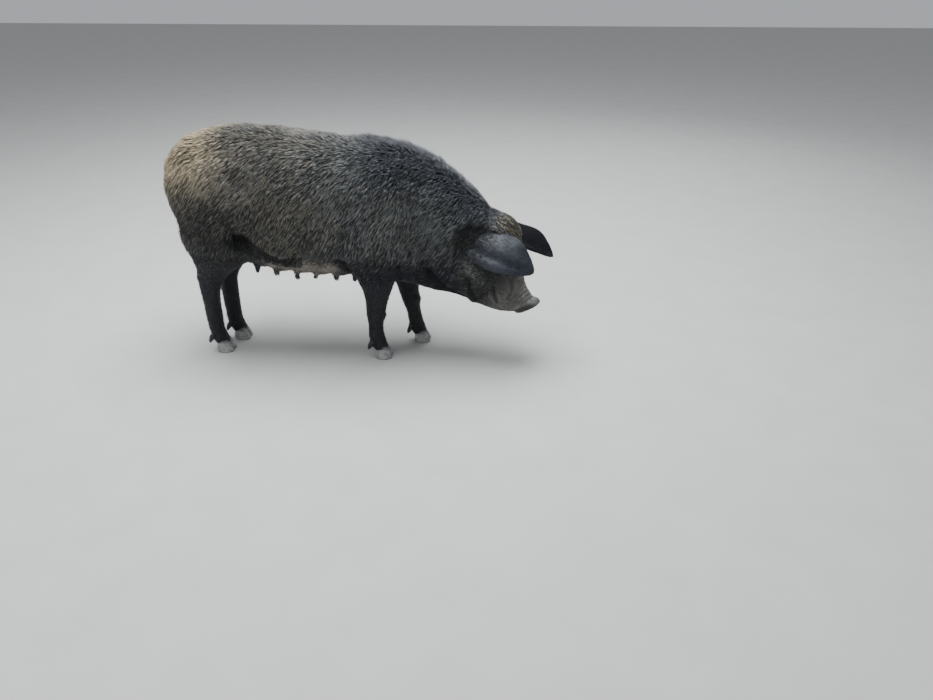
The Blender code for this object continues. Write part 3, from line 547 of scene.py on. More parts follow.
# How far each place is inside each zone, from 0 to 1, and where it is on the head.
def zones(points, normals):
    x, y, z = points.T
    level = normals[:, 2]
    hx, hy, hz = toHead(points).T
    head = ease(-0.135, -0.055, hx) * ease(0.36, 0.41, x)
    body = 1 - head
    legs = ease(0.400, 0.275, z) * ease(-0.09, -0.05, x) * ease(0.26, 0.20, x)
    legs = np.maximum(legs, ease(0.520, 0.340, z) * ease(-0.30, -0.37, x)) * body
    belly = ease(-0.20, -0.75, level) * ease(0.14, 0.04, x) * (1 - legs) * body
    rump = ease(-0.27, -0.60, x)
    buff = np.clip(rump * (0.04 + 0.96 * ease(0.56, 0.80, z)) + 0.34 * ease(-0.60, -0.67, x), 0, 1)
    buff = np.maximum(buff, 0.10 * ease(0.72, 0.97, level) * ease(0.12, -0.12, x) * (z > 0.6))
    crest = ease(-0.02, 0.14, x) * ease(0.15, 0.75, level) * body
    tan = ease(0.55, 0.70, z) * ease(-0.12, -0.22, x) * ease(-0.40, -0.28, x)
    cheek = head * np.exp(-(((hx + 0.006) / 0.036) ** 2 + ((hz + 0.034) / 0.026) ** 2)) * (np.abs(hy) > 0.05)
    disc = pastSnout(hx, hz)
    # The hollow under the fold of the flank, which gets painted shade, and the fold's edge above it.
    under = (z < np.interp(x, *zip(*flankLine))) & (x > -0.42) & (x < -0.13)
    near = lineDistance(x, z, flankLine)
    outer = ease(0.09, 0.13, np.abs(y))
    hollow = np.where(under, ease(0.110, 0.050, near), 0.0) * ease(0.06, 0.12, np.abs(y)) * body
    hollow = hollow * ease(-0.19, -0.27, x)
    ridge = np.where(under, 0.0, np.exp(-((near - 0.004) / 0.014) ** 2)) * outer
    # Creases of the elbow, throat, head folds and mouth line, where painted shade darkens skin and hair.
    creases = np.exp(-(lineDistance(x, z, elbowLine) / 0.028) ** 2) * outer
    creases = np.maximum(creases, np.exp(-(lineDistance(x, z, throatLine) / 0.026) ** 2)) * body
    for line, breadth, depth in headFolds:
        fold = np.exp(-(lineDistance(hx, hz, line) / (1.1 * breadth)) ** 2)
        creases = np.maximum(creases, fold * head * min(1, depth / 0.0045) * (np.abs(hy) > 0.03))
    creases = np.maximum(creases, 0.8 * head * np.exp(-(lineDistance(hx, hz, mouthLine) / 0.004) ** 2))
    return SimpleNamespace(
        level=level, head=head, body=body, legs=legs, belly=belly, buff=buff, crest=crest, tan=tan,
        cheek=cheek, snout=head * ease(0.02, 0.11, hx), disc=disc, rim=ease(-0.030, -0.018, disc) * head,
        hollow=hollow, ridge=ridge, creases=creases, hx=hx, hy=hy, hz=hz)


def mixIn(base, colour, share):
    return base * (1 - share[:, None]) + np.asarray(colour) * share[:, None]


# Each layer is a colour of the palette, its brightness and how much of it is mixed in.
def layered(tone, *layers):
    for name, bright, share in layers:
        tone = mixIn(tone, palette[name] * bright, share)
    return tone


def skinTone(points, normals):
    zone = zones(points, normals)
    x, z = points[:, 0], points[:, 2]
    teat = ease(0.006, -0.004, z - bellyAt(x)) * (1 - zone.legs) * (x > -0.42) * (x < 0.06)
    tone = layered(
        np.tile(palette["dark"] * 0.62, (len(points), 1)),
        ("brown", 0.8, 0.6 * zone.buff), ("blue", 0.6, 0.7 * zone.crest), ("leg", 0.8, zone.legs),
        # painted light: the belly skin is brightened well above its own tone, standing in for light thrown up
        # from the floor
        ("udder", 2.8, 0.95 * zone.belly), ("udder", 1.7, 0.9 * teat), ("dark", 0.95, zone.head * 0.8),
        ("muzzle", 0.90, 0.85 * zone.snout), ("grey", 0.75, 0.65 * zone.cheek))
    # Painted shade: the skin is darkened along the creases.
    tone = tone * (1 - 0.80 * zone.creases)[:, None]
    below = zone.hz + snout["below"]
    middle = (zone.hy / 0.040) ** 2 + (below / 0.040) ** 2
    tone = layered(
        # painted shade: the skin is darkened in the flank hollow
        tone, ("dark", 0.35, 0.8 * zone.hollow * (1 - 0.5 * zone.belly)), ("rim", 0.07, 0.90 * zone.rim),
        # painted highlight along the top edge of the snout rim
        ("rim", 0.75, 0.55 * zone.rim * ease(-0.014, 0.002, zone.hz)),
        ("dark", 0.9, 0.8 * zone.rim * ease(1.15, 0.80, middle)),
        ("blue", 0.8, 0.8 * ease(0.075, 0.045, earDistance(points))))
    # Painted shade in the nostrils.
    hole = ((np.abs(zone.hy) - snout["apart"]) / 0.0085) ** 2 + (below / 0.0105) ** 2
    return tone * (1 - 0.9 * zone.rim * ease(1.5, 0.6, hole))[:, None]


toned = skinTone(points, normalsOf(skin.data))
patches = 0.80 + 0.40 * ease(-0.4, 0.4, noiseAt(points, 22, 7.7))
paint(skin.data, "tone", toned * patches[:, None])
print("marks")

skinTree = BVHTree.FromObject(skin, bpy.context.evaluated_depsgraph_get())


def nearest(points):
    places, facing = np.empty_like(points), np.empty_like(points)
    for i, p in enumerate(points):
        place, normal, _, _ = skinTree.find_nearest(p)
        places[i], facing[i] = place, normal
    return places, facing


trunkTable = np.array(sorted(((row[0] + row[2]) / 2, row[6], row[7], row[8]) for row in trunkRows))


# Depth, length and width of hair. The trunk's depths are in its rows, and the snout's row is taken off.
hairSizes = {
    "longest": 0.036, "width": 0.0033, "legs": (0.0034, 0.014, 0.0015), "brow": (0.0100, 0.026, 0.0024),
    "face": (0.0042, 0.012, 0.0011), "snout": (0.0018, 0.0045, 0),
}


# Depth, length, width and lie of the coat at places on the skin.
def coatPlan(points, normals):
    zone = zones(points, normals)
    x, y, z = points.T
    level = np.clip(normals[:, 2], -1, 1)
    flat = np.sqrt(1 - level ** 2)
    over, beside, under = (np.interp(x, trunkTable[:, 0], trunkTable[:, k]) for k in (1, 2, 3))
    depth = np.minimum(over * np.maximum(level, 0) + under * np.maximum(-level, 0) + beside * flat,
                       np.maximum(over, beside))
    depth = np.minimum(depth, 0.010 + 0.05 * np.clip(z - 0.30, 0, 1) + 0.02 * (z > 0.45))
    sizes = (depth, np.minimum(depth / 0.60, hairSizes["longest"]), np.full(len(x), hairSizes["width"]))
    face = ease(-0.06, 0.06, zone.hx)
    own = [brow * (1 - face) + front * face - less * zone.snout
           for brow, front, less in zip(hairSizes["brow"], hairSizes["face"], hairSizes["snout"])]
    sizes = [size * (1 - zone.legs) + leg * zone.legs for size, leg in zip(sizes, hairSizes["legs"])]
    depth, length, width = (size * zone.body + mine * zone.head for size, mine in zip(sizes, own))
    byEar = ease(0.070, 0.040, earDistance(points))
    depth, length = depth * (1 - 0.65 * byEar), length * (1 - 0.50 * byEar)
    short = 1 - np.maximum(0.72 * zone.belly, 0.60 * zone.hollow)
    depth, length = depth * short * (1 - 0.35 * zone.creases), length * short
    width = width * (1 - 0.35 * np.maximum(zone.belly, zone.hollow))
    nearTail = np.min([np.linalg.norm(points - np.array(row[:3]), axis=1) for row in tailRows[1:]], axis=0)
    tailShare = ease(0.045, 0.022, nearTail) * (x < -0.655)
    depth, length = depth * (1 - 0.6 * tailShare), length * (1 - 0.5 * tailShare)
    # The coat lies to the rear and down the sides, straight down on the legs and back over the head.
    neck, rump = ease(0.12, 0.34, x), ease(-0.42, -0.64, x)
    fall = flat * (1.60 * (1 - neck) + 0.95 * neck) * ease(-0.9, -0.1, level) * ease(0.15, 0.60, flat)
    fall = fall + rump * (0.3 + 1.6 * flat ** 2)
    parting = 0.25 * np.tanh(y / 0.05) * np.maximum(level, 0) * (1 - neck)
    lie = np.stack([-np.ones(len(x)), parting, -fall], axis=1)
    down = np.tile((-0.28, 0.0, -1.0), (len(x), 1))
    lie = unit(lie) * (1 - zone.legs)[:, None] + unit(down) * zone.legs[:, None]
    back = headAxes @ np.array((-1.0, 0.0, -0.35))
    lie = lie * zone.body[:, None] + unit(back[None])[0] * zone.head[:, None]
    return SimpleNamespace(depth=depth, length=length, width=width, lie=lie, zone=zone)


# The lie turned by swirl about the normal and laid into the surface.
def layAlong(lie, normals, swirl):
    flatLie = unit(lie - normals * np.sum(lie * normals, axis=1)[:, None])
    across = np.cross(normals, flatLie)
    return unit(flatLie * np.cos(swirl)[:, None] + across * np.sin(swirl)[:, None])


# Root and tip colours of each strand: dark roots, pale or dark tips.
def strandTones(points, zone):
    count = len(points)
    x, z = points[:, 0], points[:, 2]
    draw = dice.random(count)
    top = ease(0.70, 0.95, zone.level) * (1 - zone.buff)
    ham = ease(-0.30, -0.42, x) * ease(0.66, 0.54, z)
    fore = ease(0.50, 0.36, z) * ease(-0.10, -0.02, x) * zone.body
    flanks = ease(0.72, 0.60, z) * zone.body
    shoulder = ease(-0.14, 0.04, x) * zone.body * (1 - zone.legs)
    throat = ease(0.10, 0.26, x) * (1 - zone.crest) * zone.body
    calm = np.maximum(zone.head * ease(-0.05, 0.01, zone.hx), throat)  # throat and face, less mixed
    paleShare = (0.50 + 0.20 * zone.buff - 0.24 * zone.crest - 0.14 * top + 0.12 * zone.tan
                 + 0.30 * zone.cheek + 0.15 * zone.snout + 0.35 * zone.ridge)
    for factor in (
            1 - zone.legs, 0.36 + 0.74 * ease(0.36, 0.64, z) + 0.3 * zone.head,
            0.80 + 0.40 * ease(-0.35, 0.35, noiseAt(points, 11, 1.3)),
            1 - 0.55 * zone.head * ease(0.15, 0.60, zone.level), 1 - 0.75 * fore,
            1 - 0.50 * ham * (1 - 0.5 * ease(-0.58, -0.66, x)),
            # painted shade: fewer pale tips in the flank hollow and the creases
            (1 - 0.85 * zone.hollow) * (1 - 0.75 * zone.creases)):
        paleShare = paleShare * factor
    pale = layered(np.tile(palette["grey"], (count, 1)), ("buff", 1, np.clip(zone.buff * 1.1, 0, 1)),
                   ("slate", 1, 0.85 * zone.crest))
    pale = layered(
        pale * (1 - 0.22 * top)[:, None], ("olive", 1, 0.55 * flanks * (1 - shoulder)),
        ("mist", 1, 0.60 * shoulder * (1 - zone.crest)), ("ash", 1, 0.75 * calm),
        ("ochre", 1, 0.22 * zone.tan + 0.15 * zone.cheek + 0.4 * zone.ridge))
    dark = layered(
        np.tile(palette["dark"], (count, 1)), ("blue", 1, 0.8 * zone.crest),
        ("leg", 1.2, np.maximum(zone.legs, fore)), ("brown", 1, 0.40 * zone.buff),
        ("muzzle", 0.55, 0.8 * zone.snout))
    isPale = (draw < paleShare * (1 + 0.5 * throat + 0.15 * shoulder * flanks))[:, None]
    tip = np.where(isPale, pale * 0.86, dark * 1.75)
    ochreShare = (0.09 + 0.10 * zone.tan) * (1 - zone.crest) * (1 - 0.9 * calm)
    tip = np.where((dice.random(count) < ochreShare)[:, None] & isPale, palette["ochre"], tip)
    bright = (1 + 0.62 * zone.buff * isPale[:, 0]) * (1 - 0.72 * ease(0.085, 0.050, earDistance(points)))
    root = layered(np.tile(palette["dark"] * 0.62, (count, 1)), ("brown", 0.8, 0.60 * zone.buff))
    vary = (0.60 + 0.75 * dice.random(count)) * (1 - 0.22 * ham)
    # Painted shade: strands are darker in the flank hollow and the creases.
    vary = vary * (1 - 0.45 * zone.hollow) * (1 - 0.35 * zone.creases)
    # Strands on the snout rim are darker below its top edge, which is left bright for the painted highlight.
    vary = vary * (1 - 0.75 * (zone.rim * ease(-0.002, -0.014, zone.hz)))
    return root * vary[:, None], tip * bright[:, None] * vary[:, None] * 0.95


# Along a strand: share of its length, of its width and of its rise. Short ones bend once, long ones twice.
shortSteps = ((0.00, 0.85, 0.00), (0.50, 1.00, 0.66), (1.00, 0.00, 1.00))
longSteps = ((0.00, 0.80, 0.00), (0.34, 1.00, 0.48), (0.70, 0.78, 0.82), (1.00, 0.00, 1.00))
pieces = {}


# Triangles of one strand of three-sided rings and a tip.
def strandFaces(rings):
    faces = [(0, 2, 1)]
    for k in range(rings - 1):
        for i in range(3):
            j = (i + 1) % 3
            faces += [(3 * k + i, 3 * k + j, 3 * k + 3 + j), (3 * k + i, 3 * k + 3 + j, 3 * k + 3 + i)]
    faces += [(3 * rings - 3 + i, 3 * rings - 3 + (i + 1) % 3, 3 * rings) for i in range(3)]
    return np.array(faces)


# Closed strands with their own place on the map; part picks a run of them.
def strandMesh(name, steps, hair, tones, places, part=slice(None)):
    rings, facing, across = ([rows[part] for rows in lists]
                             for lists in (hair.rings, hair.facing, hair.across))
    widths, rootTone, tipTone = hair.width[part], tones[0][part], tones[1][part]
    count, last = len(widths), len(steps) - 1
    size = 3 * last + 1
    points, colours = np.empty((count, size, 3)), np.empty((count, size, 3))
    marks = np.empty((count, size, 2))
    for k, (reach, wide, _) in enumerate(steps):
        share = reach ** 0.80
        tone = rootTone * (1 - share) + tipTone * share
        if k == last:
            points[:, 3 * k], colours[:, 3 * k] = rings[k], tone * 1.1
            marks[:, 3 * k] = places + (0.0, 0.0030)
            continue
        half = (widths * wide / 2)[:, None]
        points[:, 3 * k] = rings[k] + across[k] * half
        points[:, 3 * k + 1] = rings[k] + facing[k] * half * 0.55
        points[:, 3 * k + 2] = rings[k] - across[k] * half
        for i in range(3):
            colours[:, 3 * k + i] = tone
            marks[:, 3 * k + i] = places + ((i - 1) * 0.0014, reach * 0.0030)
    faces = strandFaces(last)
    centred = points[0] - points[0].mean(axis=0)
    if sum(np.dot(centred[a], np.cross(centred[b], centred[c])) for a, b, c in faces) < 0:
        faces = faces[:, ::-1]
    allFaces = (faces[None] + size * np.arange(count)[:, None, None]).reshape(-1, 3)
    flat = points.reshape(-1, 3) + (shiftX, 0, 0)
    mesh = bpy.data.meshes.new(name)
    mesh.vertices.add(len(flat))
    mesh.vertices.foreach_set("co", flat.astype(np.float32).ravel())
    mesh.loops.add(allFaces.size)
    mesh.loops.foreach_set("vertex_index", allFaces.astype(np.int32).ravel())
    mesh.polygons.add(len(allFaces))
    mesh.polygons.foreach_set("loop_start", np.arange(0, allFaces.size, 3, dtype=np.int32))
    mesh.update(calc_edges=True)
    shade(mesh)
    paint(mesh, "tone", colours.reshape(-1, 3))
    layer = mesh.uv_layers.new(name="OFBake")
    layer.data.foreach_set("uv", marks.reshape(-1, 2)[allFaces.ravel()].astype(np.float32).ravel())
    mesh.materials.append(bristles)
    pieces[name] = bpy.data.objects.new(name, mesh)
    bpy.context.scene.collection.objects.link(pieces[name])


def surfaceOf(mesh, shifted=0.0):
    mesh.calc_loop_triangles()
    triangles = np.empty(len(mesh.loop_triangles) * 3, dtype=np.int32)
    mesh.loop_triangles.foreach_get("vertices", triangles)
    triangles = triangles.reshape(-1, 3)
    corners = (pointsOf(mesh) - (shifted, 0, 0))[triangles]
    areas = np.linalg.norm(np.cross(corners[:, 1] - corners[:, 0], corners[:, 2] - corners[:, 0]), axis=1) / 2
    return SimpleNamespace(corners=corners, normals=normalsOf(mesh)[triangles], areas=areas)


# Random places with their normals and triangles, by weight per triangle.
def scatter(surface, count, weights):
    sums = np.cumsum(surface.areas * weights)
    picks = np.minimum(np.searchsorted(sums, dice.random(count) * sums[-1]), len(sums) - 1)
    u, v = dice.random(count), dice.random(count)
    over = u + v > 1
    u[over], v[over] = 1 - u[over], 1 - v[over]
    shares = np.stack([1 - u - v, u, v], axis=1)
    places, normals = (np.einsum("ij,ijk->ik", shares, rows[picks])
                       for rows in (surface.corners, surface.normals))
    return places, unit(normals), picks


# Strands from their roots, following the skin and drawn together in clumps.
def growCoat(roots, normals, sizes, steps=shortSteps, lieOf=None, longer=1.0):
    plan = coatPlan(roots, normals)
    count = len(roots)
    length = plan.length * (0.74 + 0.52 * dice.random(count)) * longer
    depth = plan.depth * (0.60 + 0.40 * dice.random(count))
    width = plan.width * (0.75 + 0.50 * dice.random(count))
    clumps = max(1, count // sizes["clump"])
    tree = KDTree(clumps)
    chosen = dice.choice(count, clumps, replace=False)
    for k, i in enumerate(chosen):
        tree.insert(roots[i], k)
    tree.balance()
    member = np.array([tree.find(p)[1] for p in roots])
    centres = roots[chosen]
    swirl = (sizes["curl"] * (0.8 * noiseAt(centres, 9, 5.0) + 0.6 * noiseAt(centres, 40, 2.0)))[member]
    swirl += sizes["curl"] * 1.7 * (dice.random(count) - 0.5)
    depth = depth * np.clip((0.90 + 0.22 * noiseAt(centres, 24, 9.0))[member], 0.6, 1.10)
    rings, facing = [roots - normals * 0.0015], [normals]
    spots, spotNormals = roots, normals
    across = [np.cross(normals, layAlong(lieOf(roots) if lieOf else plan.lie, normals, swirl))]
    gone = 0.0
    for reach, _, rise in steps[1:]:
        here = lieOf(spots) if lieOf else coatPlan(spots, spotNormals).lie
        ahead = layAlong(here, spotNormals, swirl * (1 - 0.5 * gone))
        spots, spotNormals = nearest(spots + ahead * (length * (reach - gone) * 0.93)[:, None])
        gone = reach
        rings.append(spots + spotNormals * (depth * rise)[:, None])
        facing.append(spotNormals)
        across.append(np.cross(spotNormals, ahead))
    for k, share in ((len(steps) - 2, 0.4), (len(steps) - 1, 1.0)):
        sums = np.zeros((clumps, 3))
        np.add.at(sums, member, rings[k])
        means = sums / np.maximum(np.bincount(member, minlength=clumps), 1)[:, None]
        rings[k] = rings[k] + (means[member] - rings[k]) * sizes["pull"] * share * 0.8
    return SimpleNamespace(rings=rings, facing=facing, across=across, width=width, zone=plan.zone)


def materialKit(name, roughness):
    made = bpy.data.materials.new(name)
    made.use_nodes = True
    nodes = made.node_tree.nodes
    shader = nodes["Principled BSDF"]
    shader.inputs["Roughness"].default_value = roughness
    return SimpleNamespace(made=made, nodes=nodes, links=made.node_tree.links, shader=shader,
                           place=nodes.new("ShaderNodeTexCoord").outputs["Object"])


def texture(kit, kind, **values):
    made = kit.nodes.new("ShaderNodeTex" + kind)
    for key, value in values.items():
        if key in made.inputs:
            made.inputs[key].default_value = value
        else:
            setattr(made, key, value)
    kit.links.new(kit.place, made.inputs["Vector"])
    return made.outputs["Distance" if kind == "Voronoi" else "Fac"]


def ownTone(kit):
    made = kit.nodes.new("ShaderNodeAttribute")
    made.attribute_name = "tone"
    return made.outputs["Color"]


def ramp(kit, source, *stops):
    made = kit.nodes.new("ShaderNodeValToRGB")
    band = made.color_ramp
    while len(band.elements) < len(stops):
        band.elements.new(0.5)
    for element, (place, value) in zip(band.elements, stops):
        element.position = place
        element.color = (value, value, value, 1) if isinstance(value, (int, float)) else (*value, 1)
    kit.links.new(source, made.inputs["Fac"])
    return made.outputs["Color"]


def multiply(kit, colour, other, share=1.0):
    made = kit.nodes.new("ShaderNodeMix")
    made.data_type = "RGBA"
    made.blend_type = "MULTIPLY"
    made.inputs["Factor"].default_value = share
    kit.links.new(colour, made.inputs["A"])
    kit.links.new(other, made.inputs["B"])
    return made.outputs["Result"]


# Bumps are a source, a strength and a distance, the coarse one first.
def finishKit(kit, colour, rough=None, specular=None, bumps=(), firstSunk=False):
    kit.links.new(colour, kit.shader.inputs["Base Color"])
    if rough is not None:
        kit.links.new(rough, kit.shader.inputs["Roughness"])
    if specular is not None:
        kit.shader.inputs["Specular IOR Level"].default_value = specular
    normal = None
    for source, strength, distance in bumps:
        made = kit.nodes.new("ShaderNodeBump")
        made.inputs["Strength"].default_value = strength
        made.inputs["Distance"].default_value = distance
        made.invert = firstSunk and normal is None
        kit.links.new(source, made.inputs["Height"])
        if normal is not None:
            kit.links.new(normal, made.inputs["Normal"])
        normal = made.outputs["Normal"]
    if normal is not None:
        kit.links.new(normal, kit.shader.inputs["Normal"])
    return kit.made


def coatMaterial():
    kit = materialKit("bristles", 0.52)
    grain = texture(kit, "Noise", Scale=260.0, Detail=3.0)
    fine = texture(kit, "Noise", Scale=1400.0, Detail=2.0)
    colour = multiply(kit, ownTone(kit), ramp(kit, grain, (0.30, 0.70), (0.70, 1.25)))
    return finishKit(kit, colour, ramp(kit, grain, (0.2, 0.42), (0.8, 0.62)), 0.32, ((fine, 0.18, 0.0006),))


def skinMaterial():
    kit = materialKit("hide", 0.58)
    mottle = texture(kit, "Noise", Scale=55.0, Detail=6.0, Roughness=0.65)
    cells = texture(kit, "Voronoi", Scale=420.0, feature="DISTANCE_TO_EDGE")
    pores = texture(kit, "Noise", Scale=700.0, Detail=4.0)
    colour = multiply(kit, ownTone(kit), ramp(kit, mottle, (0.30, 0.72), (0.70, 1.20)))
    colour = multiply(kit, colour, ramp(kit, cells, (0.0, 0.55), (0.22, 1.0)), 0.6)
    return finishKit(kit, colour, ramp(kit, mottle, (0.25, 0.48), (0.75, 0.68)), 0.4,
                     ((cells, 0.35, 0.0016), (pores, 0.30, 0.0010)))


bristles = coatMaterial()
hide = skinMaterial()
skinSurface = surfaceOf(skin.data)
middles, facings = skinSurface.corners.mean(axis=1), unit(skinSurface.normals.mean(axis=1))
onSkin = zones(middles, facings)


def turnOf(a, b):
    return np.arctan2(a, b) / math.tau + 0.5


# The coat in slices along the body, each mapped round and along its own slice.
coatSizes = {"count": 99000, "slices": 6, "clump": 2, "pull": 0.30, "curl": 0.40, "middle": 0.54}
weight = (1 - onSkin.legs) * onSkin.body * (1 - 0.85 * onSkin.belly)
weight *= (0.85 + 0.3 * ease(0.3, 0.6, middles[:, 2])) * (1 - 0.3 * onSkin.hollow)
roots, rootNormals, _ = scatter(skinSurface, coatSizes["count"], weight)
order = np.argsort(roots[:, 0])
roots, rootNormals = roots[order], rootNormals[order]
hair = growCoat(roots, rootNormals, coatSizes)
tones = strandTones(roots, hair.zone)
ends = np.linspace(0, len(roots), coatSizes["slices"] + 1).astype(int)
for k in range(coatSizes["slices"]):
    part = slice(ends[k], ends[k + 1])
    spots = roots[part]
    low, high = spots[:, 0].min(), spots[:, 0].max()
    turn = turnOf(spots[:, 1], spots[:, 2] - coatSizes["middle"])
    places = np.stack([0.01 + 0.97 * turn, 0.01 + 0.97 * (spots[:, 0] - low) / (high - low)], axis=1)
    strandMesh(f"coat_{k}", shortSteps, hair, tones, places, part)
print("coat", len(roots))

# Short hair on the legs, mapped round each of the four.
legHair = {"count": 15000, "clump": 5, "pull": 0.3, "curl": 0.14, "lowest": 0.050}
weight = onSkin.legs * (middles[:, 2] > legHair["lowest"])
roots, rootNormals, _ = scatter(skinSurface, legHair["count"], weight)
hair = growCoat(roots, rootNormals, legHair)
isFront, isLeft = roots[:, 0] > -0.2, roots[:, 1] > -0.015
middleX = np.where(isFront, np.where(isLeft, 0.2, 0.07), np.where(isLeft, -0.52, -0.55))
turn = turnOf(roots[:, 1] - np.where(isLeft, 0.06, -0.09), roots[:, 0] - middleX)
places = np.stack([(isFront * 2 + isLeft + 0.02 + 0.94 * turn) / 4, 0.01 + 0.97 * roots[:, 2] / 0.46], axis=1)
strandMesh("hair_legs", shortSteps, hair, strandTones(roots, hair.zone), places)
print("legs")

# Short hair on the head, thinner towards the snout, none on its disc.
headHair = {"head": 10500, "face": 13500, "clump": 5, "pull": 0.3, "curl": 0.2}
weight = onSkin.head * ease(-0.022, -0.040, onSkin.disc)
weight *= 1 + 1.2 * ease(0.02, -0.08, onSkin.hx)
weight *= ease(0.002, 0.008, lineDistance(onSkin.hx, onSkin.hz, mouthLine))
weight *= 0.15 + 0.85 * ease(0.030, 0.062, earDistance(middles))
for centre in eyeCentres.values():
    weight *= ease(0.012, 0.020, np.linalg.norm(middles - np.array(centre), axis=1))
onFace = ease(0.020, 0.034, onSkin.hx)
for name, share in (("head", 1 - onFace), ("face", onFace)):
    roots, rootNormals, _ = scatter(skinSurface, headHair[name], weight * share)
    hair = growCoat(roots, rootNormals, headHair)
    turn = turnOf(hair.zone.hy, hair.zone.hz + 0.02)
    along = np.clip((hair.zone.hx + 0.16) / 0.36, 0, 1)
    places = np.stack([0.01 + 0.97 * turn, 0.01 + 0.97 * along], axis=1)
    strandMesh(f"hair_{name}", shortSteps, hair, strandTones(roots, hair.zone), places)
print("head")

# Forelock between the ears, lying forward over the brow.
forelock = {"count": 1500, "from": -0.110, "to": -0.030, "half": 0.040, "clump": 6, "pull": 0.5, "curl": 0.7,
            "longer": 1.5, "wider": 1.1, "loft": 0.005, "ochre": 0.34}
hx, hy, hz = onSkin.hx, onSkin.hy, onSkin.hz
weight = ease(forelock["from"] - 0.02, forelock["from"] + 0.02, hx) * ease(forelock["to"], -0.04, hx)
weight = weight * ease(forelock["half"], 0.03, np.abs(hy)) * (hz > 0.08) * (middles[:, 0] > 0.38)
roots, rootNormals, _ = scatter(skinSurface, forelock["count"], weight)
overBrow = headAxes @ np.array((1.0, 0.0, -0.1))


def forelockLie(spots):
    out = toHead(spots)[:, 1]
    return np.tile(overBrow, (len(spots), 1)) + headAxes[:, 1][None] * (out * 6)[:, None]


hair = growCoat(roots, rootNormals, forelock, longSteps, forelockLie, forelock["longer"])
rise = -0.5 + 1.3 * dice.random(len(roots))
for k, share in ((1, 0.35), (2, 0.8), (3, 1.0)):
    hair.rings[k] = hair.rings[k] + hair.facing[k] * (forelock["loft"] * share * rise)[:, None]
rootTone, tipTone = strandTones(roots, hair.zone)
isOchre = dice.random(len(roots)) < forelock["ochre"]
ochre = layered(np.tile(palette["ochre"], (len(roots), 1)), ("buff", 1, 0.35 * dice.random(len(roots))))
tipTone = np.where(isOchre[:, None], ochre, tipTone * 0.8)
rootTone = layered(rootTone, ("brown", 0.8, np.full(len(roots), 0.5)))
hair.width = hair.width * forelock["wider"]
places = np.stack([0.05 + 0.9 * np.clip(hair.zone.hy / 0.14 + 0.5, 0, 1),
                   0.05 + 0.9 * np.clip((hair.zone.hx + 0.15) / 0.17, 0, 1)], axis=1)
strandMesh("forelock", longSteps, hair, (rootTone, tipTone), places)
print("forelock")

# Tuft of the tail and sparse hair along it.
tailHair = {"count": 420, "length": 0.085, "width": 0.0030, "tuft": 0.53, "above": 0.35, "spread": 0.010}
spots, ways, outward = [], [], []
path = [Vector(row[:3]) for row in tailPath]
for _ in range(tailHair["count"]):
    share = 1 - 0.55 * dice.random() ** 2
    k = min(int(share * (len(path) - 1)), len(path) - 2)
    point = path[k].lerp(path[k + 1], share * (len(path) - 1) - k)
    ahead = (path[k + 1] - path[k]).normalized()
    out = ahead.orthogonal().normalized()
    out.rotate(Matrix.Rotation(dice.random() * math.tau, 3, ahead))
    spots.append(point + out * tailPath[k][3] * 0.8)
    ways.append(ahead)
    outward.append(out)
spots, ways, outward = np.array(spots), np.array(ways), np.array(outward)
long = tailHair["length"] * (0.45 + 0.75 * dice.random(len(spots)))
long = long * np.where(spots[:, 2] < tailHair["tuft"], 1.0, tailHair["above"])
drop = np.array((0.10, 0.0, -1.0))
hair = SimpleNamespace(rings=[], facing=[], across=[], width=np.full(len(spots), tailHair["width"]))
for reach, _, _ in longSteps:
    way = unit(ways * (1 - 0.6 * reach) + drop * 0.6 * reach)
    bow = tailHair["spread"] * math.sin(math.pi * reach * 0.8)
    hair.rings.append(spots + way * (long * reach)[:, None] + outward * bow)
    hair.facing.append(outward)
    hair.across.append(unit(np.cross(outward, way)))
tone = np.tile(palette["dark"], (len(spots), 1))
places = np.stack([0.1 + 0.8 * dice.random(len(spots)), 0.1 + 0.8 * (0.72 - spots[:, 2]) / 0.26], axis=1)
strandMesh("tail_hair", longSteps, hair, (tone * 0.7, tone * 1.3), places)
print("tail")


# Ears: fine leaves with a fold along the rear.
earSizes = {
    "thick": 0.0058, "bulge": 0.040, "fold": 0.013, "inward": 0.9, "wide": 0.65, "steps": 27, "rings": 4,
    "endRow": (1.0, 0.05, 0.12), "tones": ((0.30, (25, 28, 35)), (0.55, (36, 40, 49)), (0.80, (60, 61, 63))),
}


def earDepth(s, share, arch, width):
    fold = earSizes["fold"] * math.exp(-((s - 0.45) / 0.20) ** 2) * (1 - 0.8 * max(share, 0))
    inward = 1 + earSizes["inward"] * (1 - max(share, 0)) ** 2 if s < 0 else 1
    return -arch * width * s * s * inward - fold


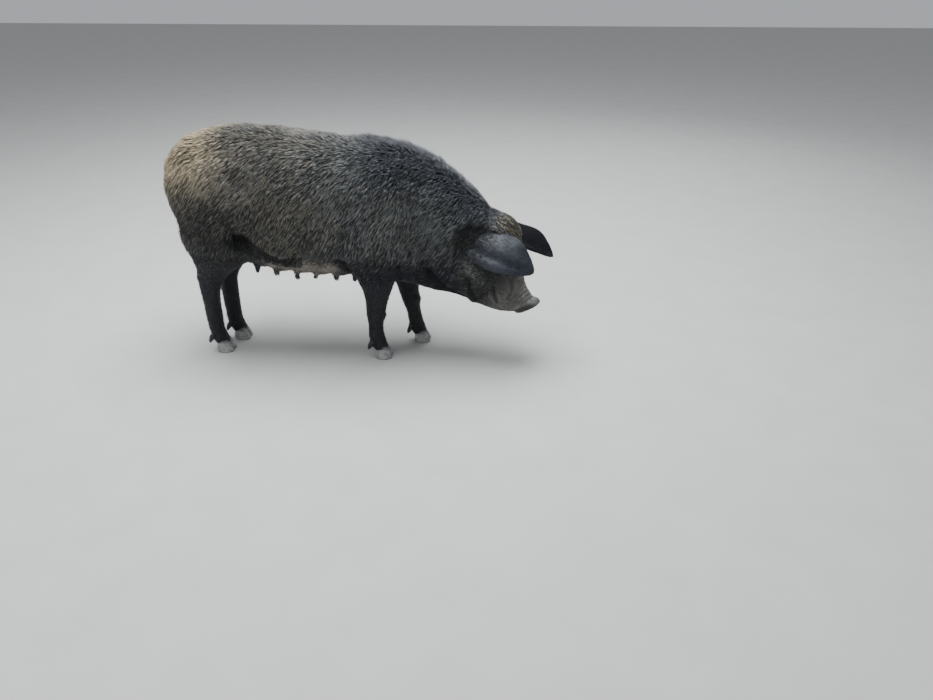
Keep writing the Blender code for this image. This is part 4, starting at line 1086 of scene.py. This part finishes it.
def earPiece(word):
    root, tip, rear = earPlaces[word]
    length, ahead = (tip - root).length, (tip - root).normalized()
    across = rear - root - ahead * (rear - root).dot(ahead)
    half = across.length * earSizes["wide"]
    across.normalize()
    out = across.cross(ahead)
    if out.y * (1 if root.y > 0 else -1) < 0:
        out.negate()
    steps = earSizes["steps"]
    rows = smoothRows(earRows, earSizes["rings"]) + [earSizes["endRow"]]
    points = []
    for share, wide, arch in rows:
        width = half * wide
        middle = root + ahead * length * share
        middle += out * earSizes["bulge"] * math.sin(math.pi * min(max(share, 0), 1) * 0.9)
        front, back = [], []
        for k in range(steps):
            s = -1 + 2 * k / (steps - 1)
            rise = (earDepth(s + 0.02, share, arch, width) - earDepth(s - 0.02, share, arch, width)) / 0.04
            lean = math.atan2(rise, width)
            facing = out * math.cos(lean) - across * math.sin(lean)
            rounded = math.sqrt(max(0.0, 1 - abs(s) ** 6)) * 0.9 + 0.1
            thick = earSizes["thick"] * (1 - 0.50 * s * s) * (1 - 0.40 * max(share, 0)) / 2 * rounded
            spot = middle + across * width * s + out * earDepth(s, share, arch, width)
            wave = 0.0022 * noise.noise(spot * 26) + 0.0008 * noise.noise(spot * 90)
            wave += 0.0025 * math.sin(9 * share + 2) * abs(s) ** 4
            spot += facing * wave
            front.append(spot + facing * thick)
            back.append(spot - facing * thick)
        points += front + back[::-1]
    count = 2 * steps
    faces = sideFaces(len(rows), count)
    for start, flip in ((0, True), ((len(rows) - 1) * count, False)):
        for i in range(steps - 1):
            quad = (start + i, start + i + 1, start + count - 2 - i, start + count - 1 - i)
            faces.append(quad[::-1] if flip else quad)
    return meshObject(f"ear_leaf_{word}", [p + shift for p in points], faces, earSkin)


def earMaterial():
    kit = materialKit("ear_skin", 0.42)
    mottle = texture(kit, "Noise", Scale=34.0, Detail=6.0, Roughness=0.6)
    patch = texture(kit, "Noise", Scale=13.0, Detail=3.0)
    fuzz = texture(kit, "Noise", Scale=420.0, Detail=4.0)
    veins = texture(kit, "Voronoi", Scale=38.0, feature="DISTANCE_TO_EDGE")
    colour = ramp(kit, mottle, *((place, linear(*tone)) for place, tone in earSizes["tones"]))
    colour = multiply(kit, colour, ramp(kit, patch, (0.35, (0.78, 0.82, 0.92)), (0.65, (1.25, 1.20, 1.08))))
    colour = multiply(kit, colour, ramp(kit, fuzz, (0.30, 0.72), (0.70, 1.15)))
    return finishKit(
        kit, colour, ramp(kit, mottle, (0.2, 0.43), (0.8, 0.60)), 0.32,
        ((ramp(kit, veins, (0.0, 0.0), (0.10, 1.0)), 0.12, 0.0016), (fuzz, 0.25, 0.0007)), firstSunk=True)


earSkin = earMaterial()
ears = {word: earPiece(word) for word in sides}
print("ears")

# Fine fuzz on the ears, longer along their edges.
fuzzSizes = {"count": 3400, "length": 0.007, "longer": 0.010, "width": 0.0008}
for word in sides:
    surface = surfaceOf(ears[word].data, shiftX)
    root, tip, _ = earPlaces[word]
    ahead = np.array((tip - root).normalized())
    inside = (surface.corners.mean(axis=1) - np.array(root)) @ ahead / (tip - root).length
    count = fuzzSizes["count"]
    spots, normals, picks = scatter(surface, count, 0.35 + 1.6 * ease(0.35, 0.0, inside))
    share = inside[picks]
    way = layAlong(np.tile(ahead, (count, 1)) + (0, 0, -0.25), normals, 0.7 * (dice.random(count) - 0.5))
    long = fuzzSizes["length"] + fuzzSizes["longer"] * ease(0.45, 0.0, share)
    long = long * (0.7 + 0.6 * dice.random(count))
    hair = SimpleNamespace(rings=[], facing=[], across=[], width=np.full(count, fuzzSizes["width"]))
    for reach, _, rise in shortSteps:
        lift = long * 0.22 * rise - 0.0004
        hair.rings.append(spots + way * (long * reach)[:, None] + normals * lift[:, None])
        hair.facing.append(normals)
        hair.across.append(np.cross(normals, way))
    isGrey = dice.random(count) < 0.10 + 0.3 * ease(0.5, 0.0, share)
    tone = np.where(isGrey[:, None], palette["grey"] * 0.30, palette["blue"] * 1.2)
    places = np.stack([0.05 + 0.9 * share.clip(0, 1), 0.05 + 0.9 * dice.random(count)], axis=1)
    strandMesh(f"ear_fuzz_{word}", shortSteps, hair, (tone * 0.8, tone * 1.1), places)
print("ear fuzz")


# Eyes set deep: a wet ball with iris and pupil, and the rims of the lids over it.
def eyeMaterial():
    kit = materialKit("wet_eye", 0.06)
    kit.shader.inputs["Coat Weight"].default_value = 1.0
    kit.shader.inputs["Coat Roughness"].default_value = 0.03
    speck = texture(kit, "Noise", Scale=900.0, Detail=3.0)
    return finishKit(kit, multiply(kit, ownTone(kit), ramp(kit, speck, (0.3, 0.75), (0.7, 1.2))))


wetEye = eyeMaterial()
eyeSizes = {"radius": 0.0114, "iris": 50.0, "pupil": 17.0, "bulge": 0.05, "pupilTone": (8, 7, 7),
            "irisTone": (70, 44, 26), "whiteTone": (120, 106, 96)}
lidSizes = {"half": 0.0126, "heights": (0.0058, -0.0050), "shell": 0.0128, "edge": 0.0011, "thick": 0.0012,
            "steps": 14}
eyes, lids = {}, {}
for word, centre in eyeCentres.items():
    axis, along, above = eyeAxes[word]
    made = meshObject(f"eyeball_{word}", *ball((0, 0, 0), (eyeSizes["radius"],) * 3, 40), wetEye)
    spots = pointsOf(made.data)
    angle = np.degrees(np.arccos(np.clip(unit(spots) @ np.array(axis), -1, 1)))
    spots *= (1 + eyeSizes["bulge"] * ease(eyeSizes["iris"], 12, angle))[:, None]
    tone = np.where((angle < eyeSizes["iris"])[:, None], linear(*eyeSizes["irisTone"]),
                    linear(*eyeSizes["whiteTone"]))
    tone = np.where((angle < eyeSizes["pupil"])[:, None], linear(*eyeSizes["pupilTone"]), tone)
    tone = tone * (1 - 0.6 * ease(38, 50, angle))[:, None]
    setPoints(made.data, spots + np.array(centre) + (shiftX, 0, 0))
    paint(made.data, "tone", tone)
    eyes[word] = made
    rims = []
    for height in lidSizes["heights"]:
        path, radii = [], []
        for k in range(lidSizes["steps"] + 1):
            t = -1 + 2 * k / lidSizes["steps"]
            arc = math.sqrt(max(0.0, 1 - t * t))
            a, b = lidSizes["half"] * t, height * arc
            c = math.sqrt(max(0.0, lidSizes["shell"] ** 2 - a * a - b * b))
            path.append(centre + along * a + above * b + axis * c)
            radii.append(lidSizes["edge"] + lidSizes["thick"] * arc)
        rims.append(tube(path, radii, 10))
    made = meshObject(f"lids_{word}", *gather(rims), hide)
    setPoints(made.data, pointsOf(made.data) + (shiftX, 0, 0))
    paint(made.data, "tone", np.tile(palette["dark"] * 0.7, (len(made.data.vertices), 1)))
    lids[word] = made
print("eyes")


# Horn: claws and dewclaws.
hornLook = {"claws": 1.0, "dewclaws": 0.22, "dustTo": (0.034, 0.047),
            "tones": ((0.28, (94, 95, 96)), (0.50, (148, 148, 147)), (0.75, (184, 182, 177)))}


def hornMaterial(name, bright):
    kit = materialKit(name, 0.62)
    grow = texture(kit, "Wave", Scale=95.0, Distortion=3.0, Detail=3.0, bands_direction="Z")
    dust = texture(kit, "Noise", Scale=70.0, Detail=6.0, Roughness=0.7)
    colour = ramp(kit, dust, *((place, linear(*tone) * bright) for place, tone in hornLook["tones"]))
    colour = multiply(kit, colour, ramp(kit, grow, (0.0, 0.78), (1.0, 1.05)))
    height = kit.nodes.new("ShaderNodeSeparateXYZ")
    kit.links.new(kit.place, height.inputs["Vector"])
    low, high = hornLook["dustTo"]  # darker above
    colour = multiply(kit, colour, ramp(kit, height.outputs["Z"], (low, 1.0), (high, 0.35)))
    return finishKit(kit, colour, bumps=((grow, 0.35, 0.0008), (dust, 0.30, 0.0008)))


horn, darkHorn = hornMaterial("dusty_horn", hornLook["claws"]), hornMaterial("dark_horn", hornLook["dewclaws"])
clawSizes = {
    "length": 0.060, "width": 0.030, "gap": 0.005, "around": 36, "square": 0.8,
    "rows": (  # height, reach ahead and behind, width
        (0.000, 0.46, -0.45, 0.92), (0.003, 0.51, -0.49, 1.02), (0.010, 0.49, -0.50, 1.03),
        (0.022, 0.41, -0.49, 0.99), (0.034, 0.31, -0.46, 0.90), (0.043, 0.23, -0.43, 0.78),
        (0.050, 0.17, -0.38, 0.62)),
    "spur": (  # ahead, outward, height, radius
        (0.014, 0, 0.076, 0.008), (0.001, 0.002, 0.064, 0.0100),
        (-0.007, 0.003, 0.050, 0.0080), (-0.012, 0.003, 0.039, 0.0030)),
}
hooves = {}
for foot, (footX, footY) in feet.items():
    side = sides[foot.split("_")[1]]
    for inner, word in ((1, "inner"), (-1, "outer")):
        lean = -side * inner
        middle = footY + lean * (clawSizes["width"] + clawSizes["gap"]) / 2
        rings = []
        for height, ahead, behind, wide in smoothRows(clawSizes["rows"], 3):
            ring = []
            for reach, out in turns(clawSizes["around"]):
                far = clawSizes["length"] * (ahead if reach > 0 else -behind)
                half = clawSizes["width"] / 2 * wide * (1 - 0.20 * max(reach, 0))
                across = middle + half * power(out, clawSizes["square"]) - lean * 0.003 * max(reach, 0)
                spot = Vector((footX + 0.010 + far * power(reach, clawSizes["square"]), across, height))
                spot += Vector((1, 1, 0)) * 0.0006 * noise.noise(spot * 120)
                ring.append(spot + shift)
            rings.append(ring)
        claw = meshObject(f"claw_{foot}_{word}", *closedLoft(rings), horn)
        claw.data.set_sharp_from_angle(angle=math.radians(50))
        hooves[f"hoof_{foot}_{word}"] = claw
        spurX, spurY = footX - 0.034, footY - side * inner * 0.017
        path = smoothRows([(spurX + forth, spurY + lean * out, height, radius)
                           for forth, out, height, radius in clawSizes["spur"]], 5)
        spur = tube([Vector(row[:3]) + shift for row in path], [row[3] for row in path], 16)
        hooves[f"dewclaw_{foot}_{word}"] = meshObject(f"spur_{foot}_{word}", *spur, darkHorn)
print("horn")

setPoints(skin.data, pointsOf(skin.data) + (shiftX, 0, 0))
skin.data.materials.append(hide)
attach(skin, "root")
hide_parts("torso", "neck", "head", "tail", "leg_front_left", "leg_front_right", "leg_hind_left",
            "leg_hind_right")
for piece in pieces.values():
    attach(piece, "root")
for word in ("right", "left"):
    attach(ears[word], "root")
    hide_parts(f"ear_{word}")
    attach(eyes[word], "root")
    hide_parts(f"eye_{word}")
    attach(lids[word], "root")
for node, piece in hooves.items():
    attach(piece, "root")
    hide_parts(node)


# A plain pale floor and soft light.
def floorMaterial():
    kit = materialKit("pale_floor", 0.85)
    grain = texture(kit, "Noise", Scale=6.0, Detail=5.0)
    return finishKit(kit, ramp(kit, grain, (0.3, (0.44, 0.435, 0.425)), (0.7, (0.47, 0.465, 0.455))))


floor = meshObject("floor", [(-14, -14, 0), (14, -14, 0), (14, 14, 0), (-14, 14, 0)], [(0, 1, 2, 3)])
floor.data.materials.append(floorMaterial())
floor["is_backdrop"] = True
lights = {  # place, turn in degrees, size, power, colour
    "above": ((-0.2, 0.3, 3.6), (5, 0, 0), 3.4, 360, (0.95, 0.98, 1.0)),
    "front": ((-1.8, -3.4, 2.8), (52, 0, -25), 2.6, 38, (1.0, 0.99, 0.97)),
    "rear": ((1.8, 3.4, 2.4), (-58, 0, -28), 2.2, 26, (0.95, 0.98, 1.0)),
}
for name, (place, turn, size, energy, tint) in lights.items():
    data = bpy.data.lights.new(name, "AREA")
    data.shape = "DISK"
    data.size = size
    data.energy = energy
    data.color = tint
    lamp = bpy.data.objects.new(name, data)
    lamp.location = place
    lamp.rotation_euler = [math.radians(angle) for angle in turn]
    bpy.context.scene.collection.objects.link(lamp)
skyLight = {"colour": (0.86, 0.90, 0.95, 1), "strength": 0.50}
world = bpy.data.worlds.new("studio")
world.use_nodes = True
background = world.node_tree.nodes["Background"]
background.inputs["Color"].default_value = skyLight["colour"]
background.inputs["Strength"].default_value = skyLight["strength"]
bpy.context.scene.world = world

count = sum(len(o.data.polygons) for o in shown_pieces())
print("faces", count)
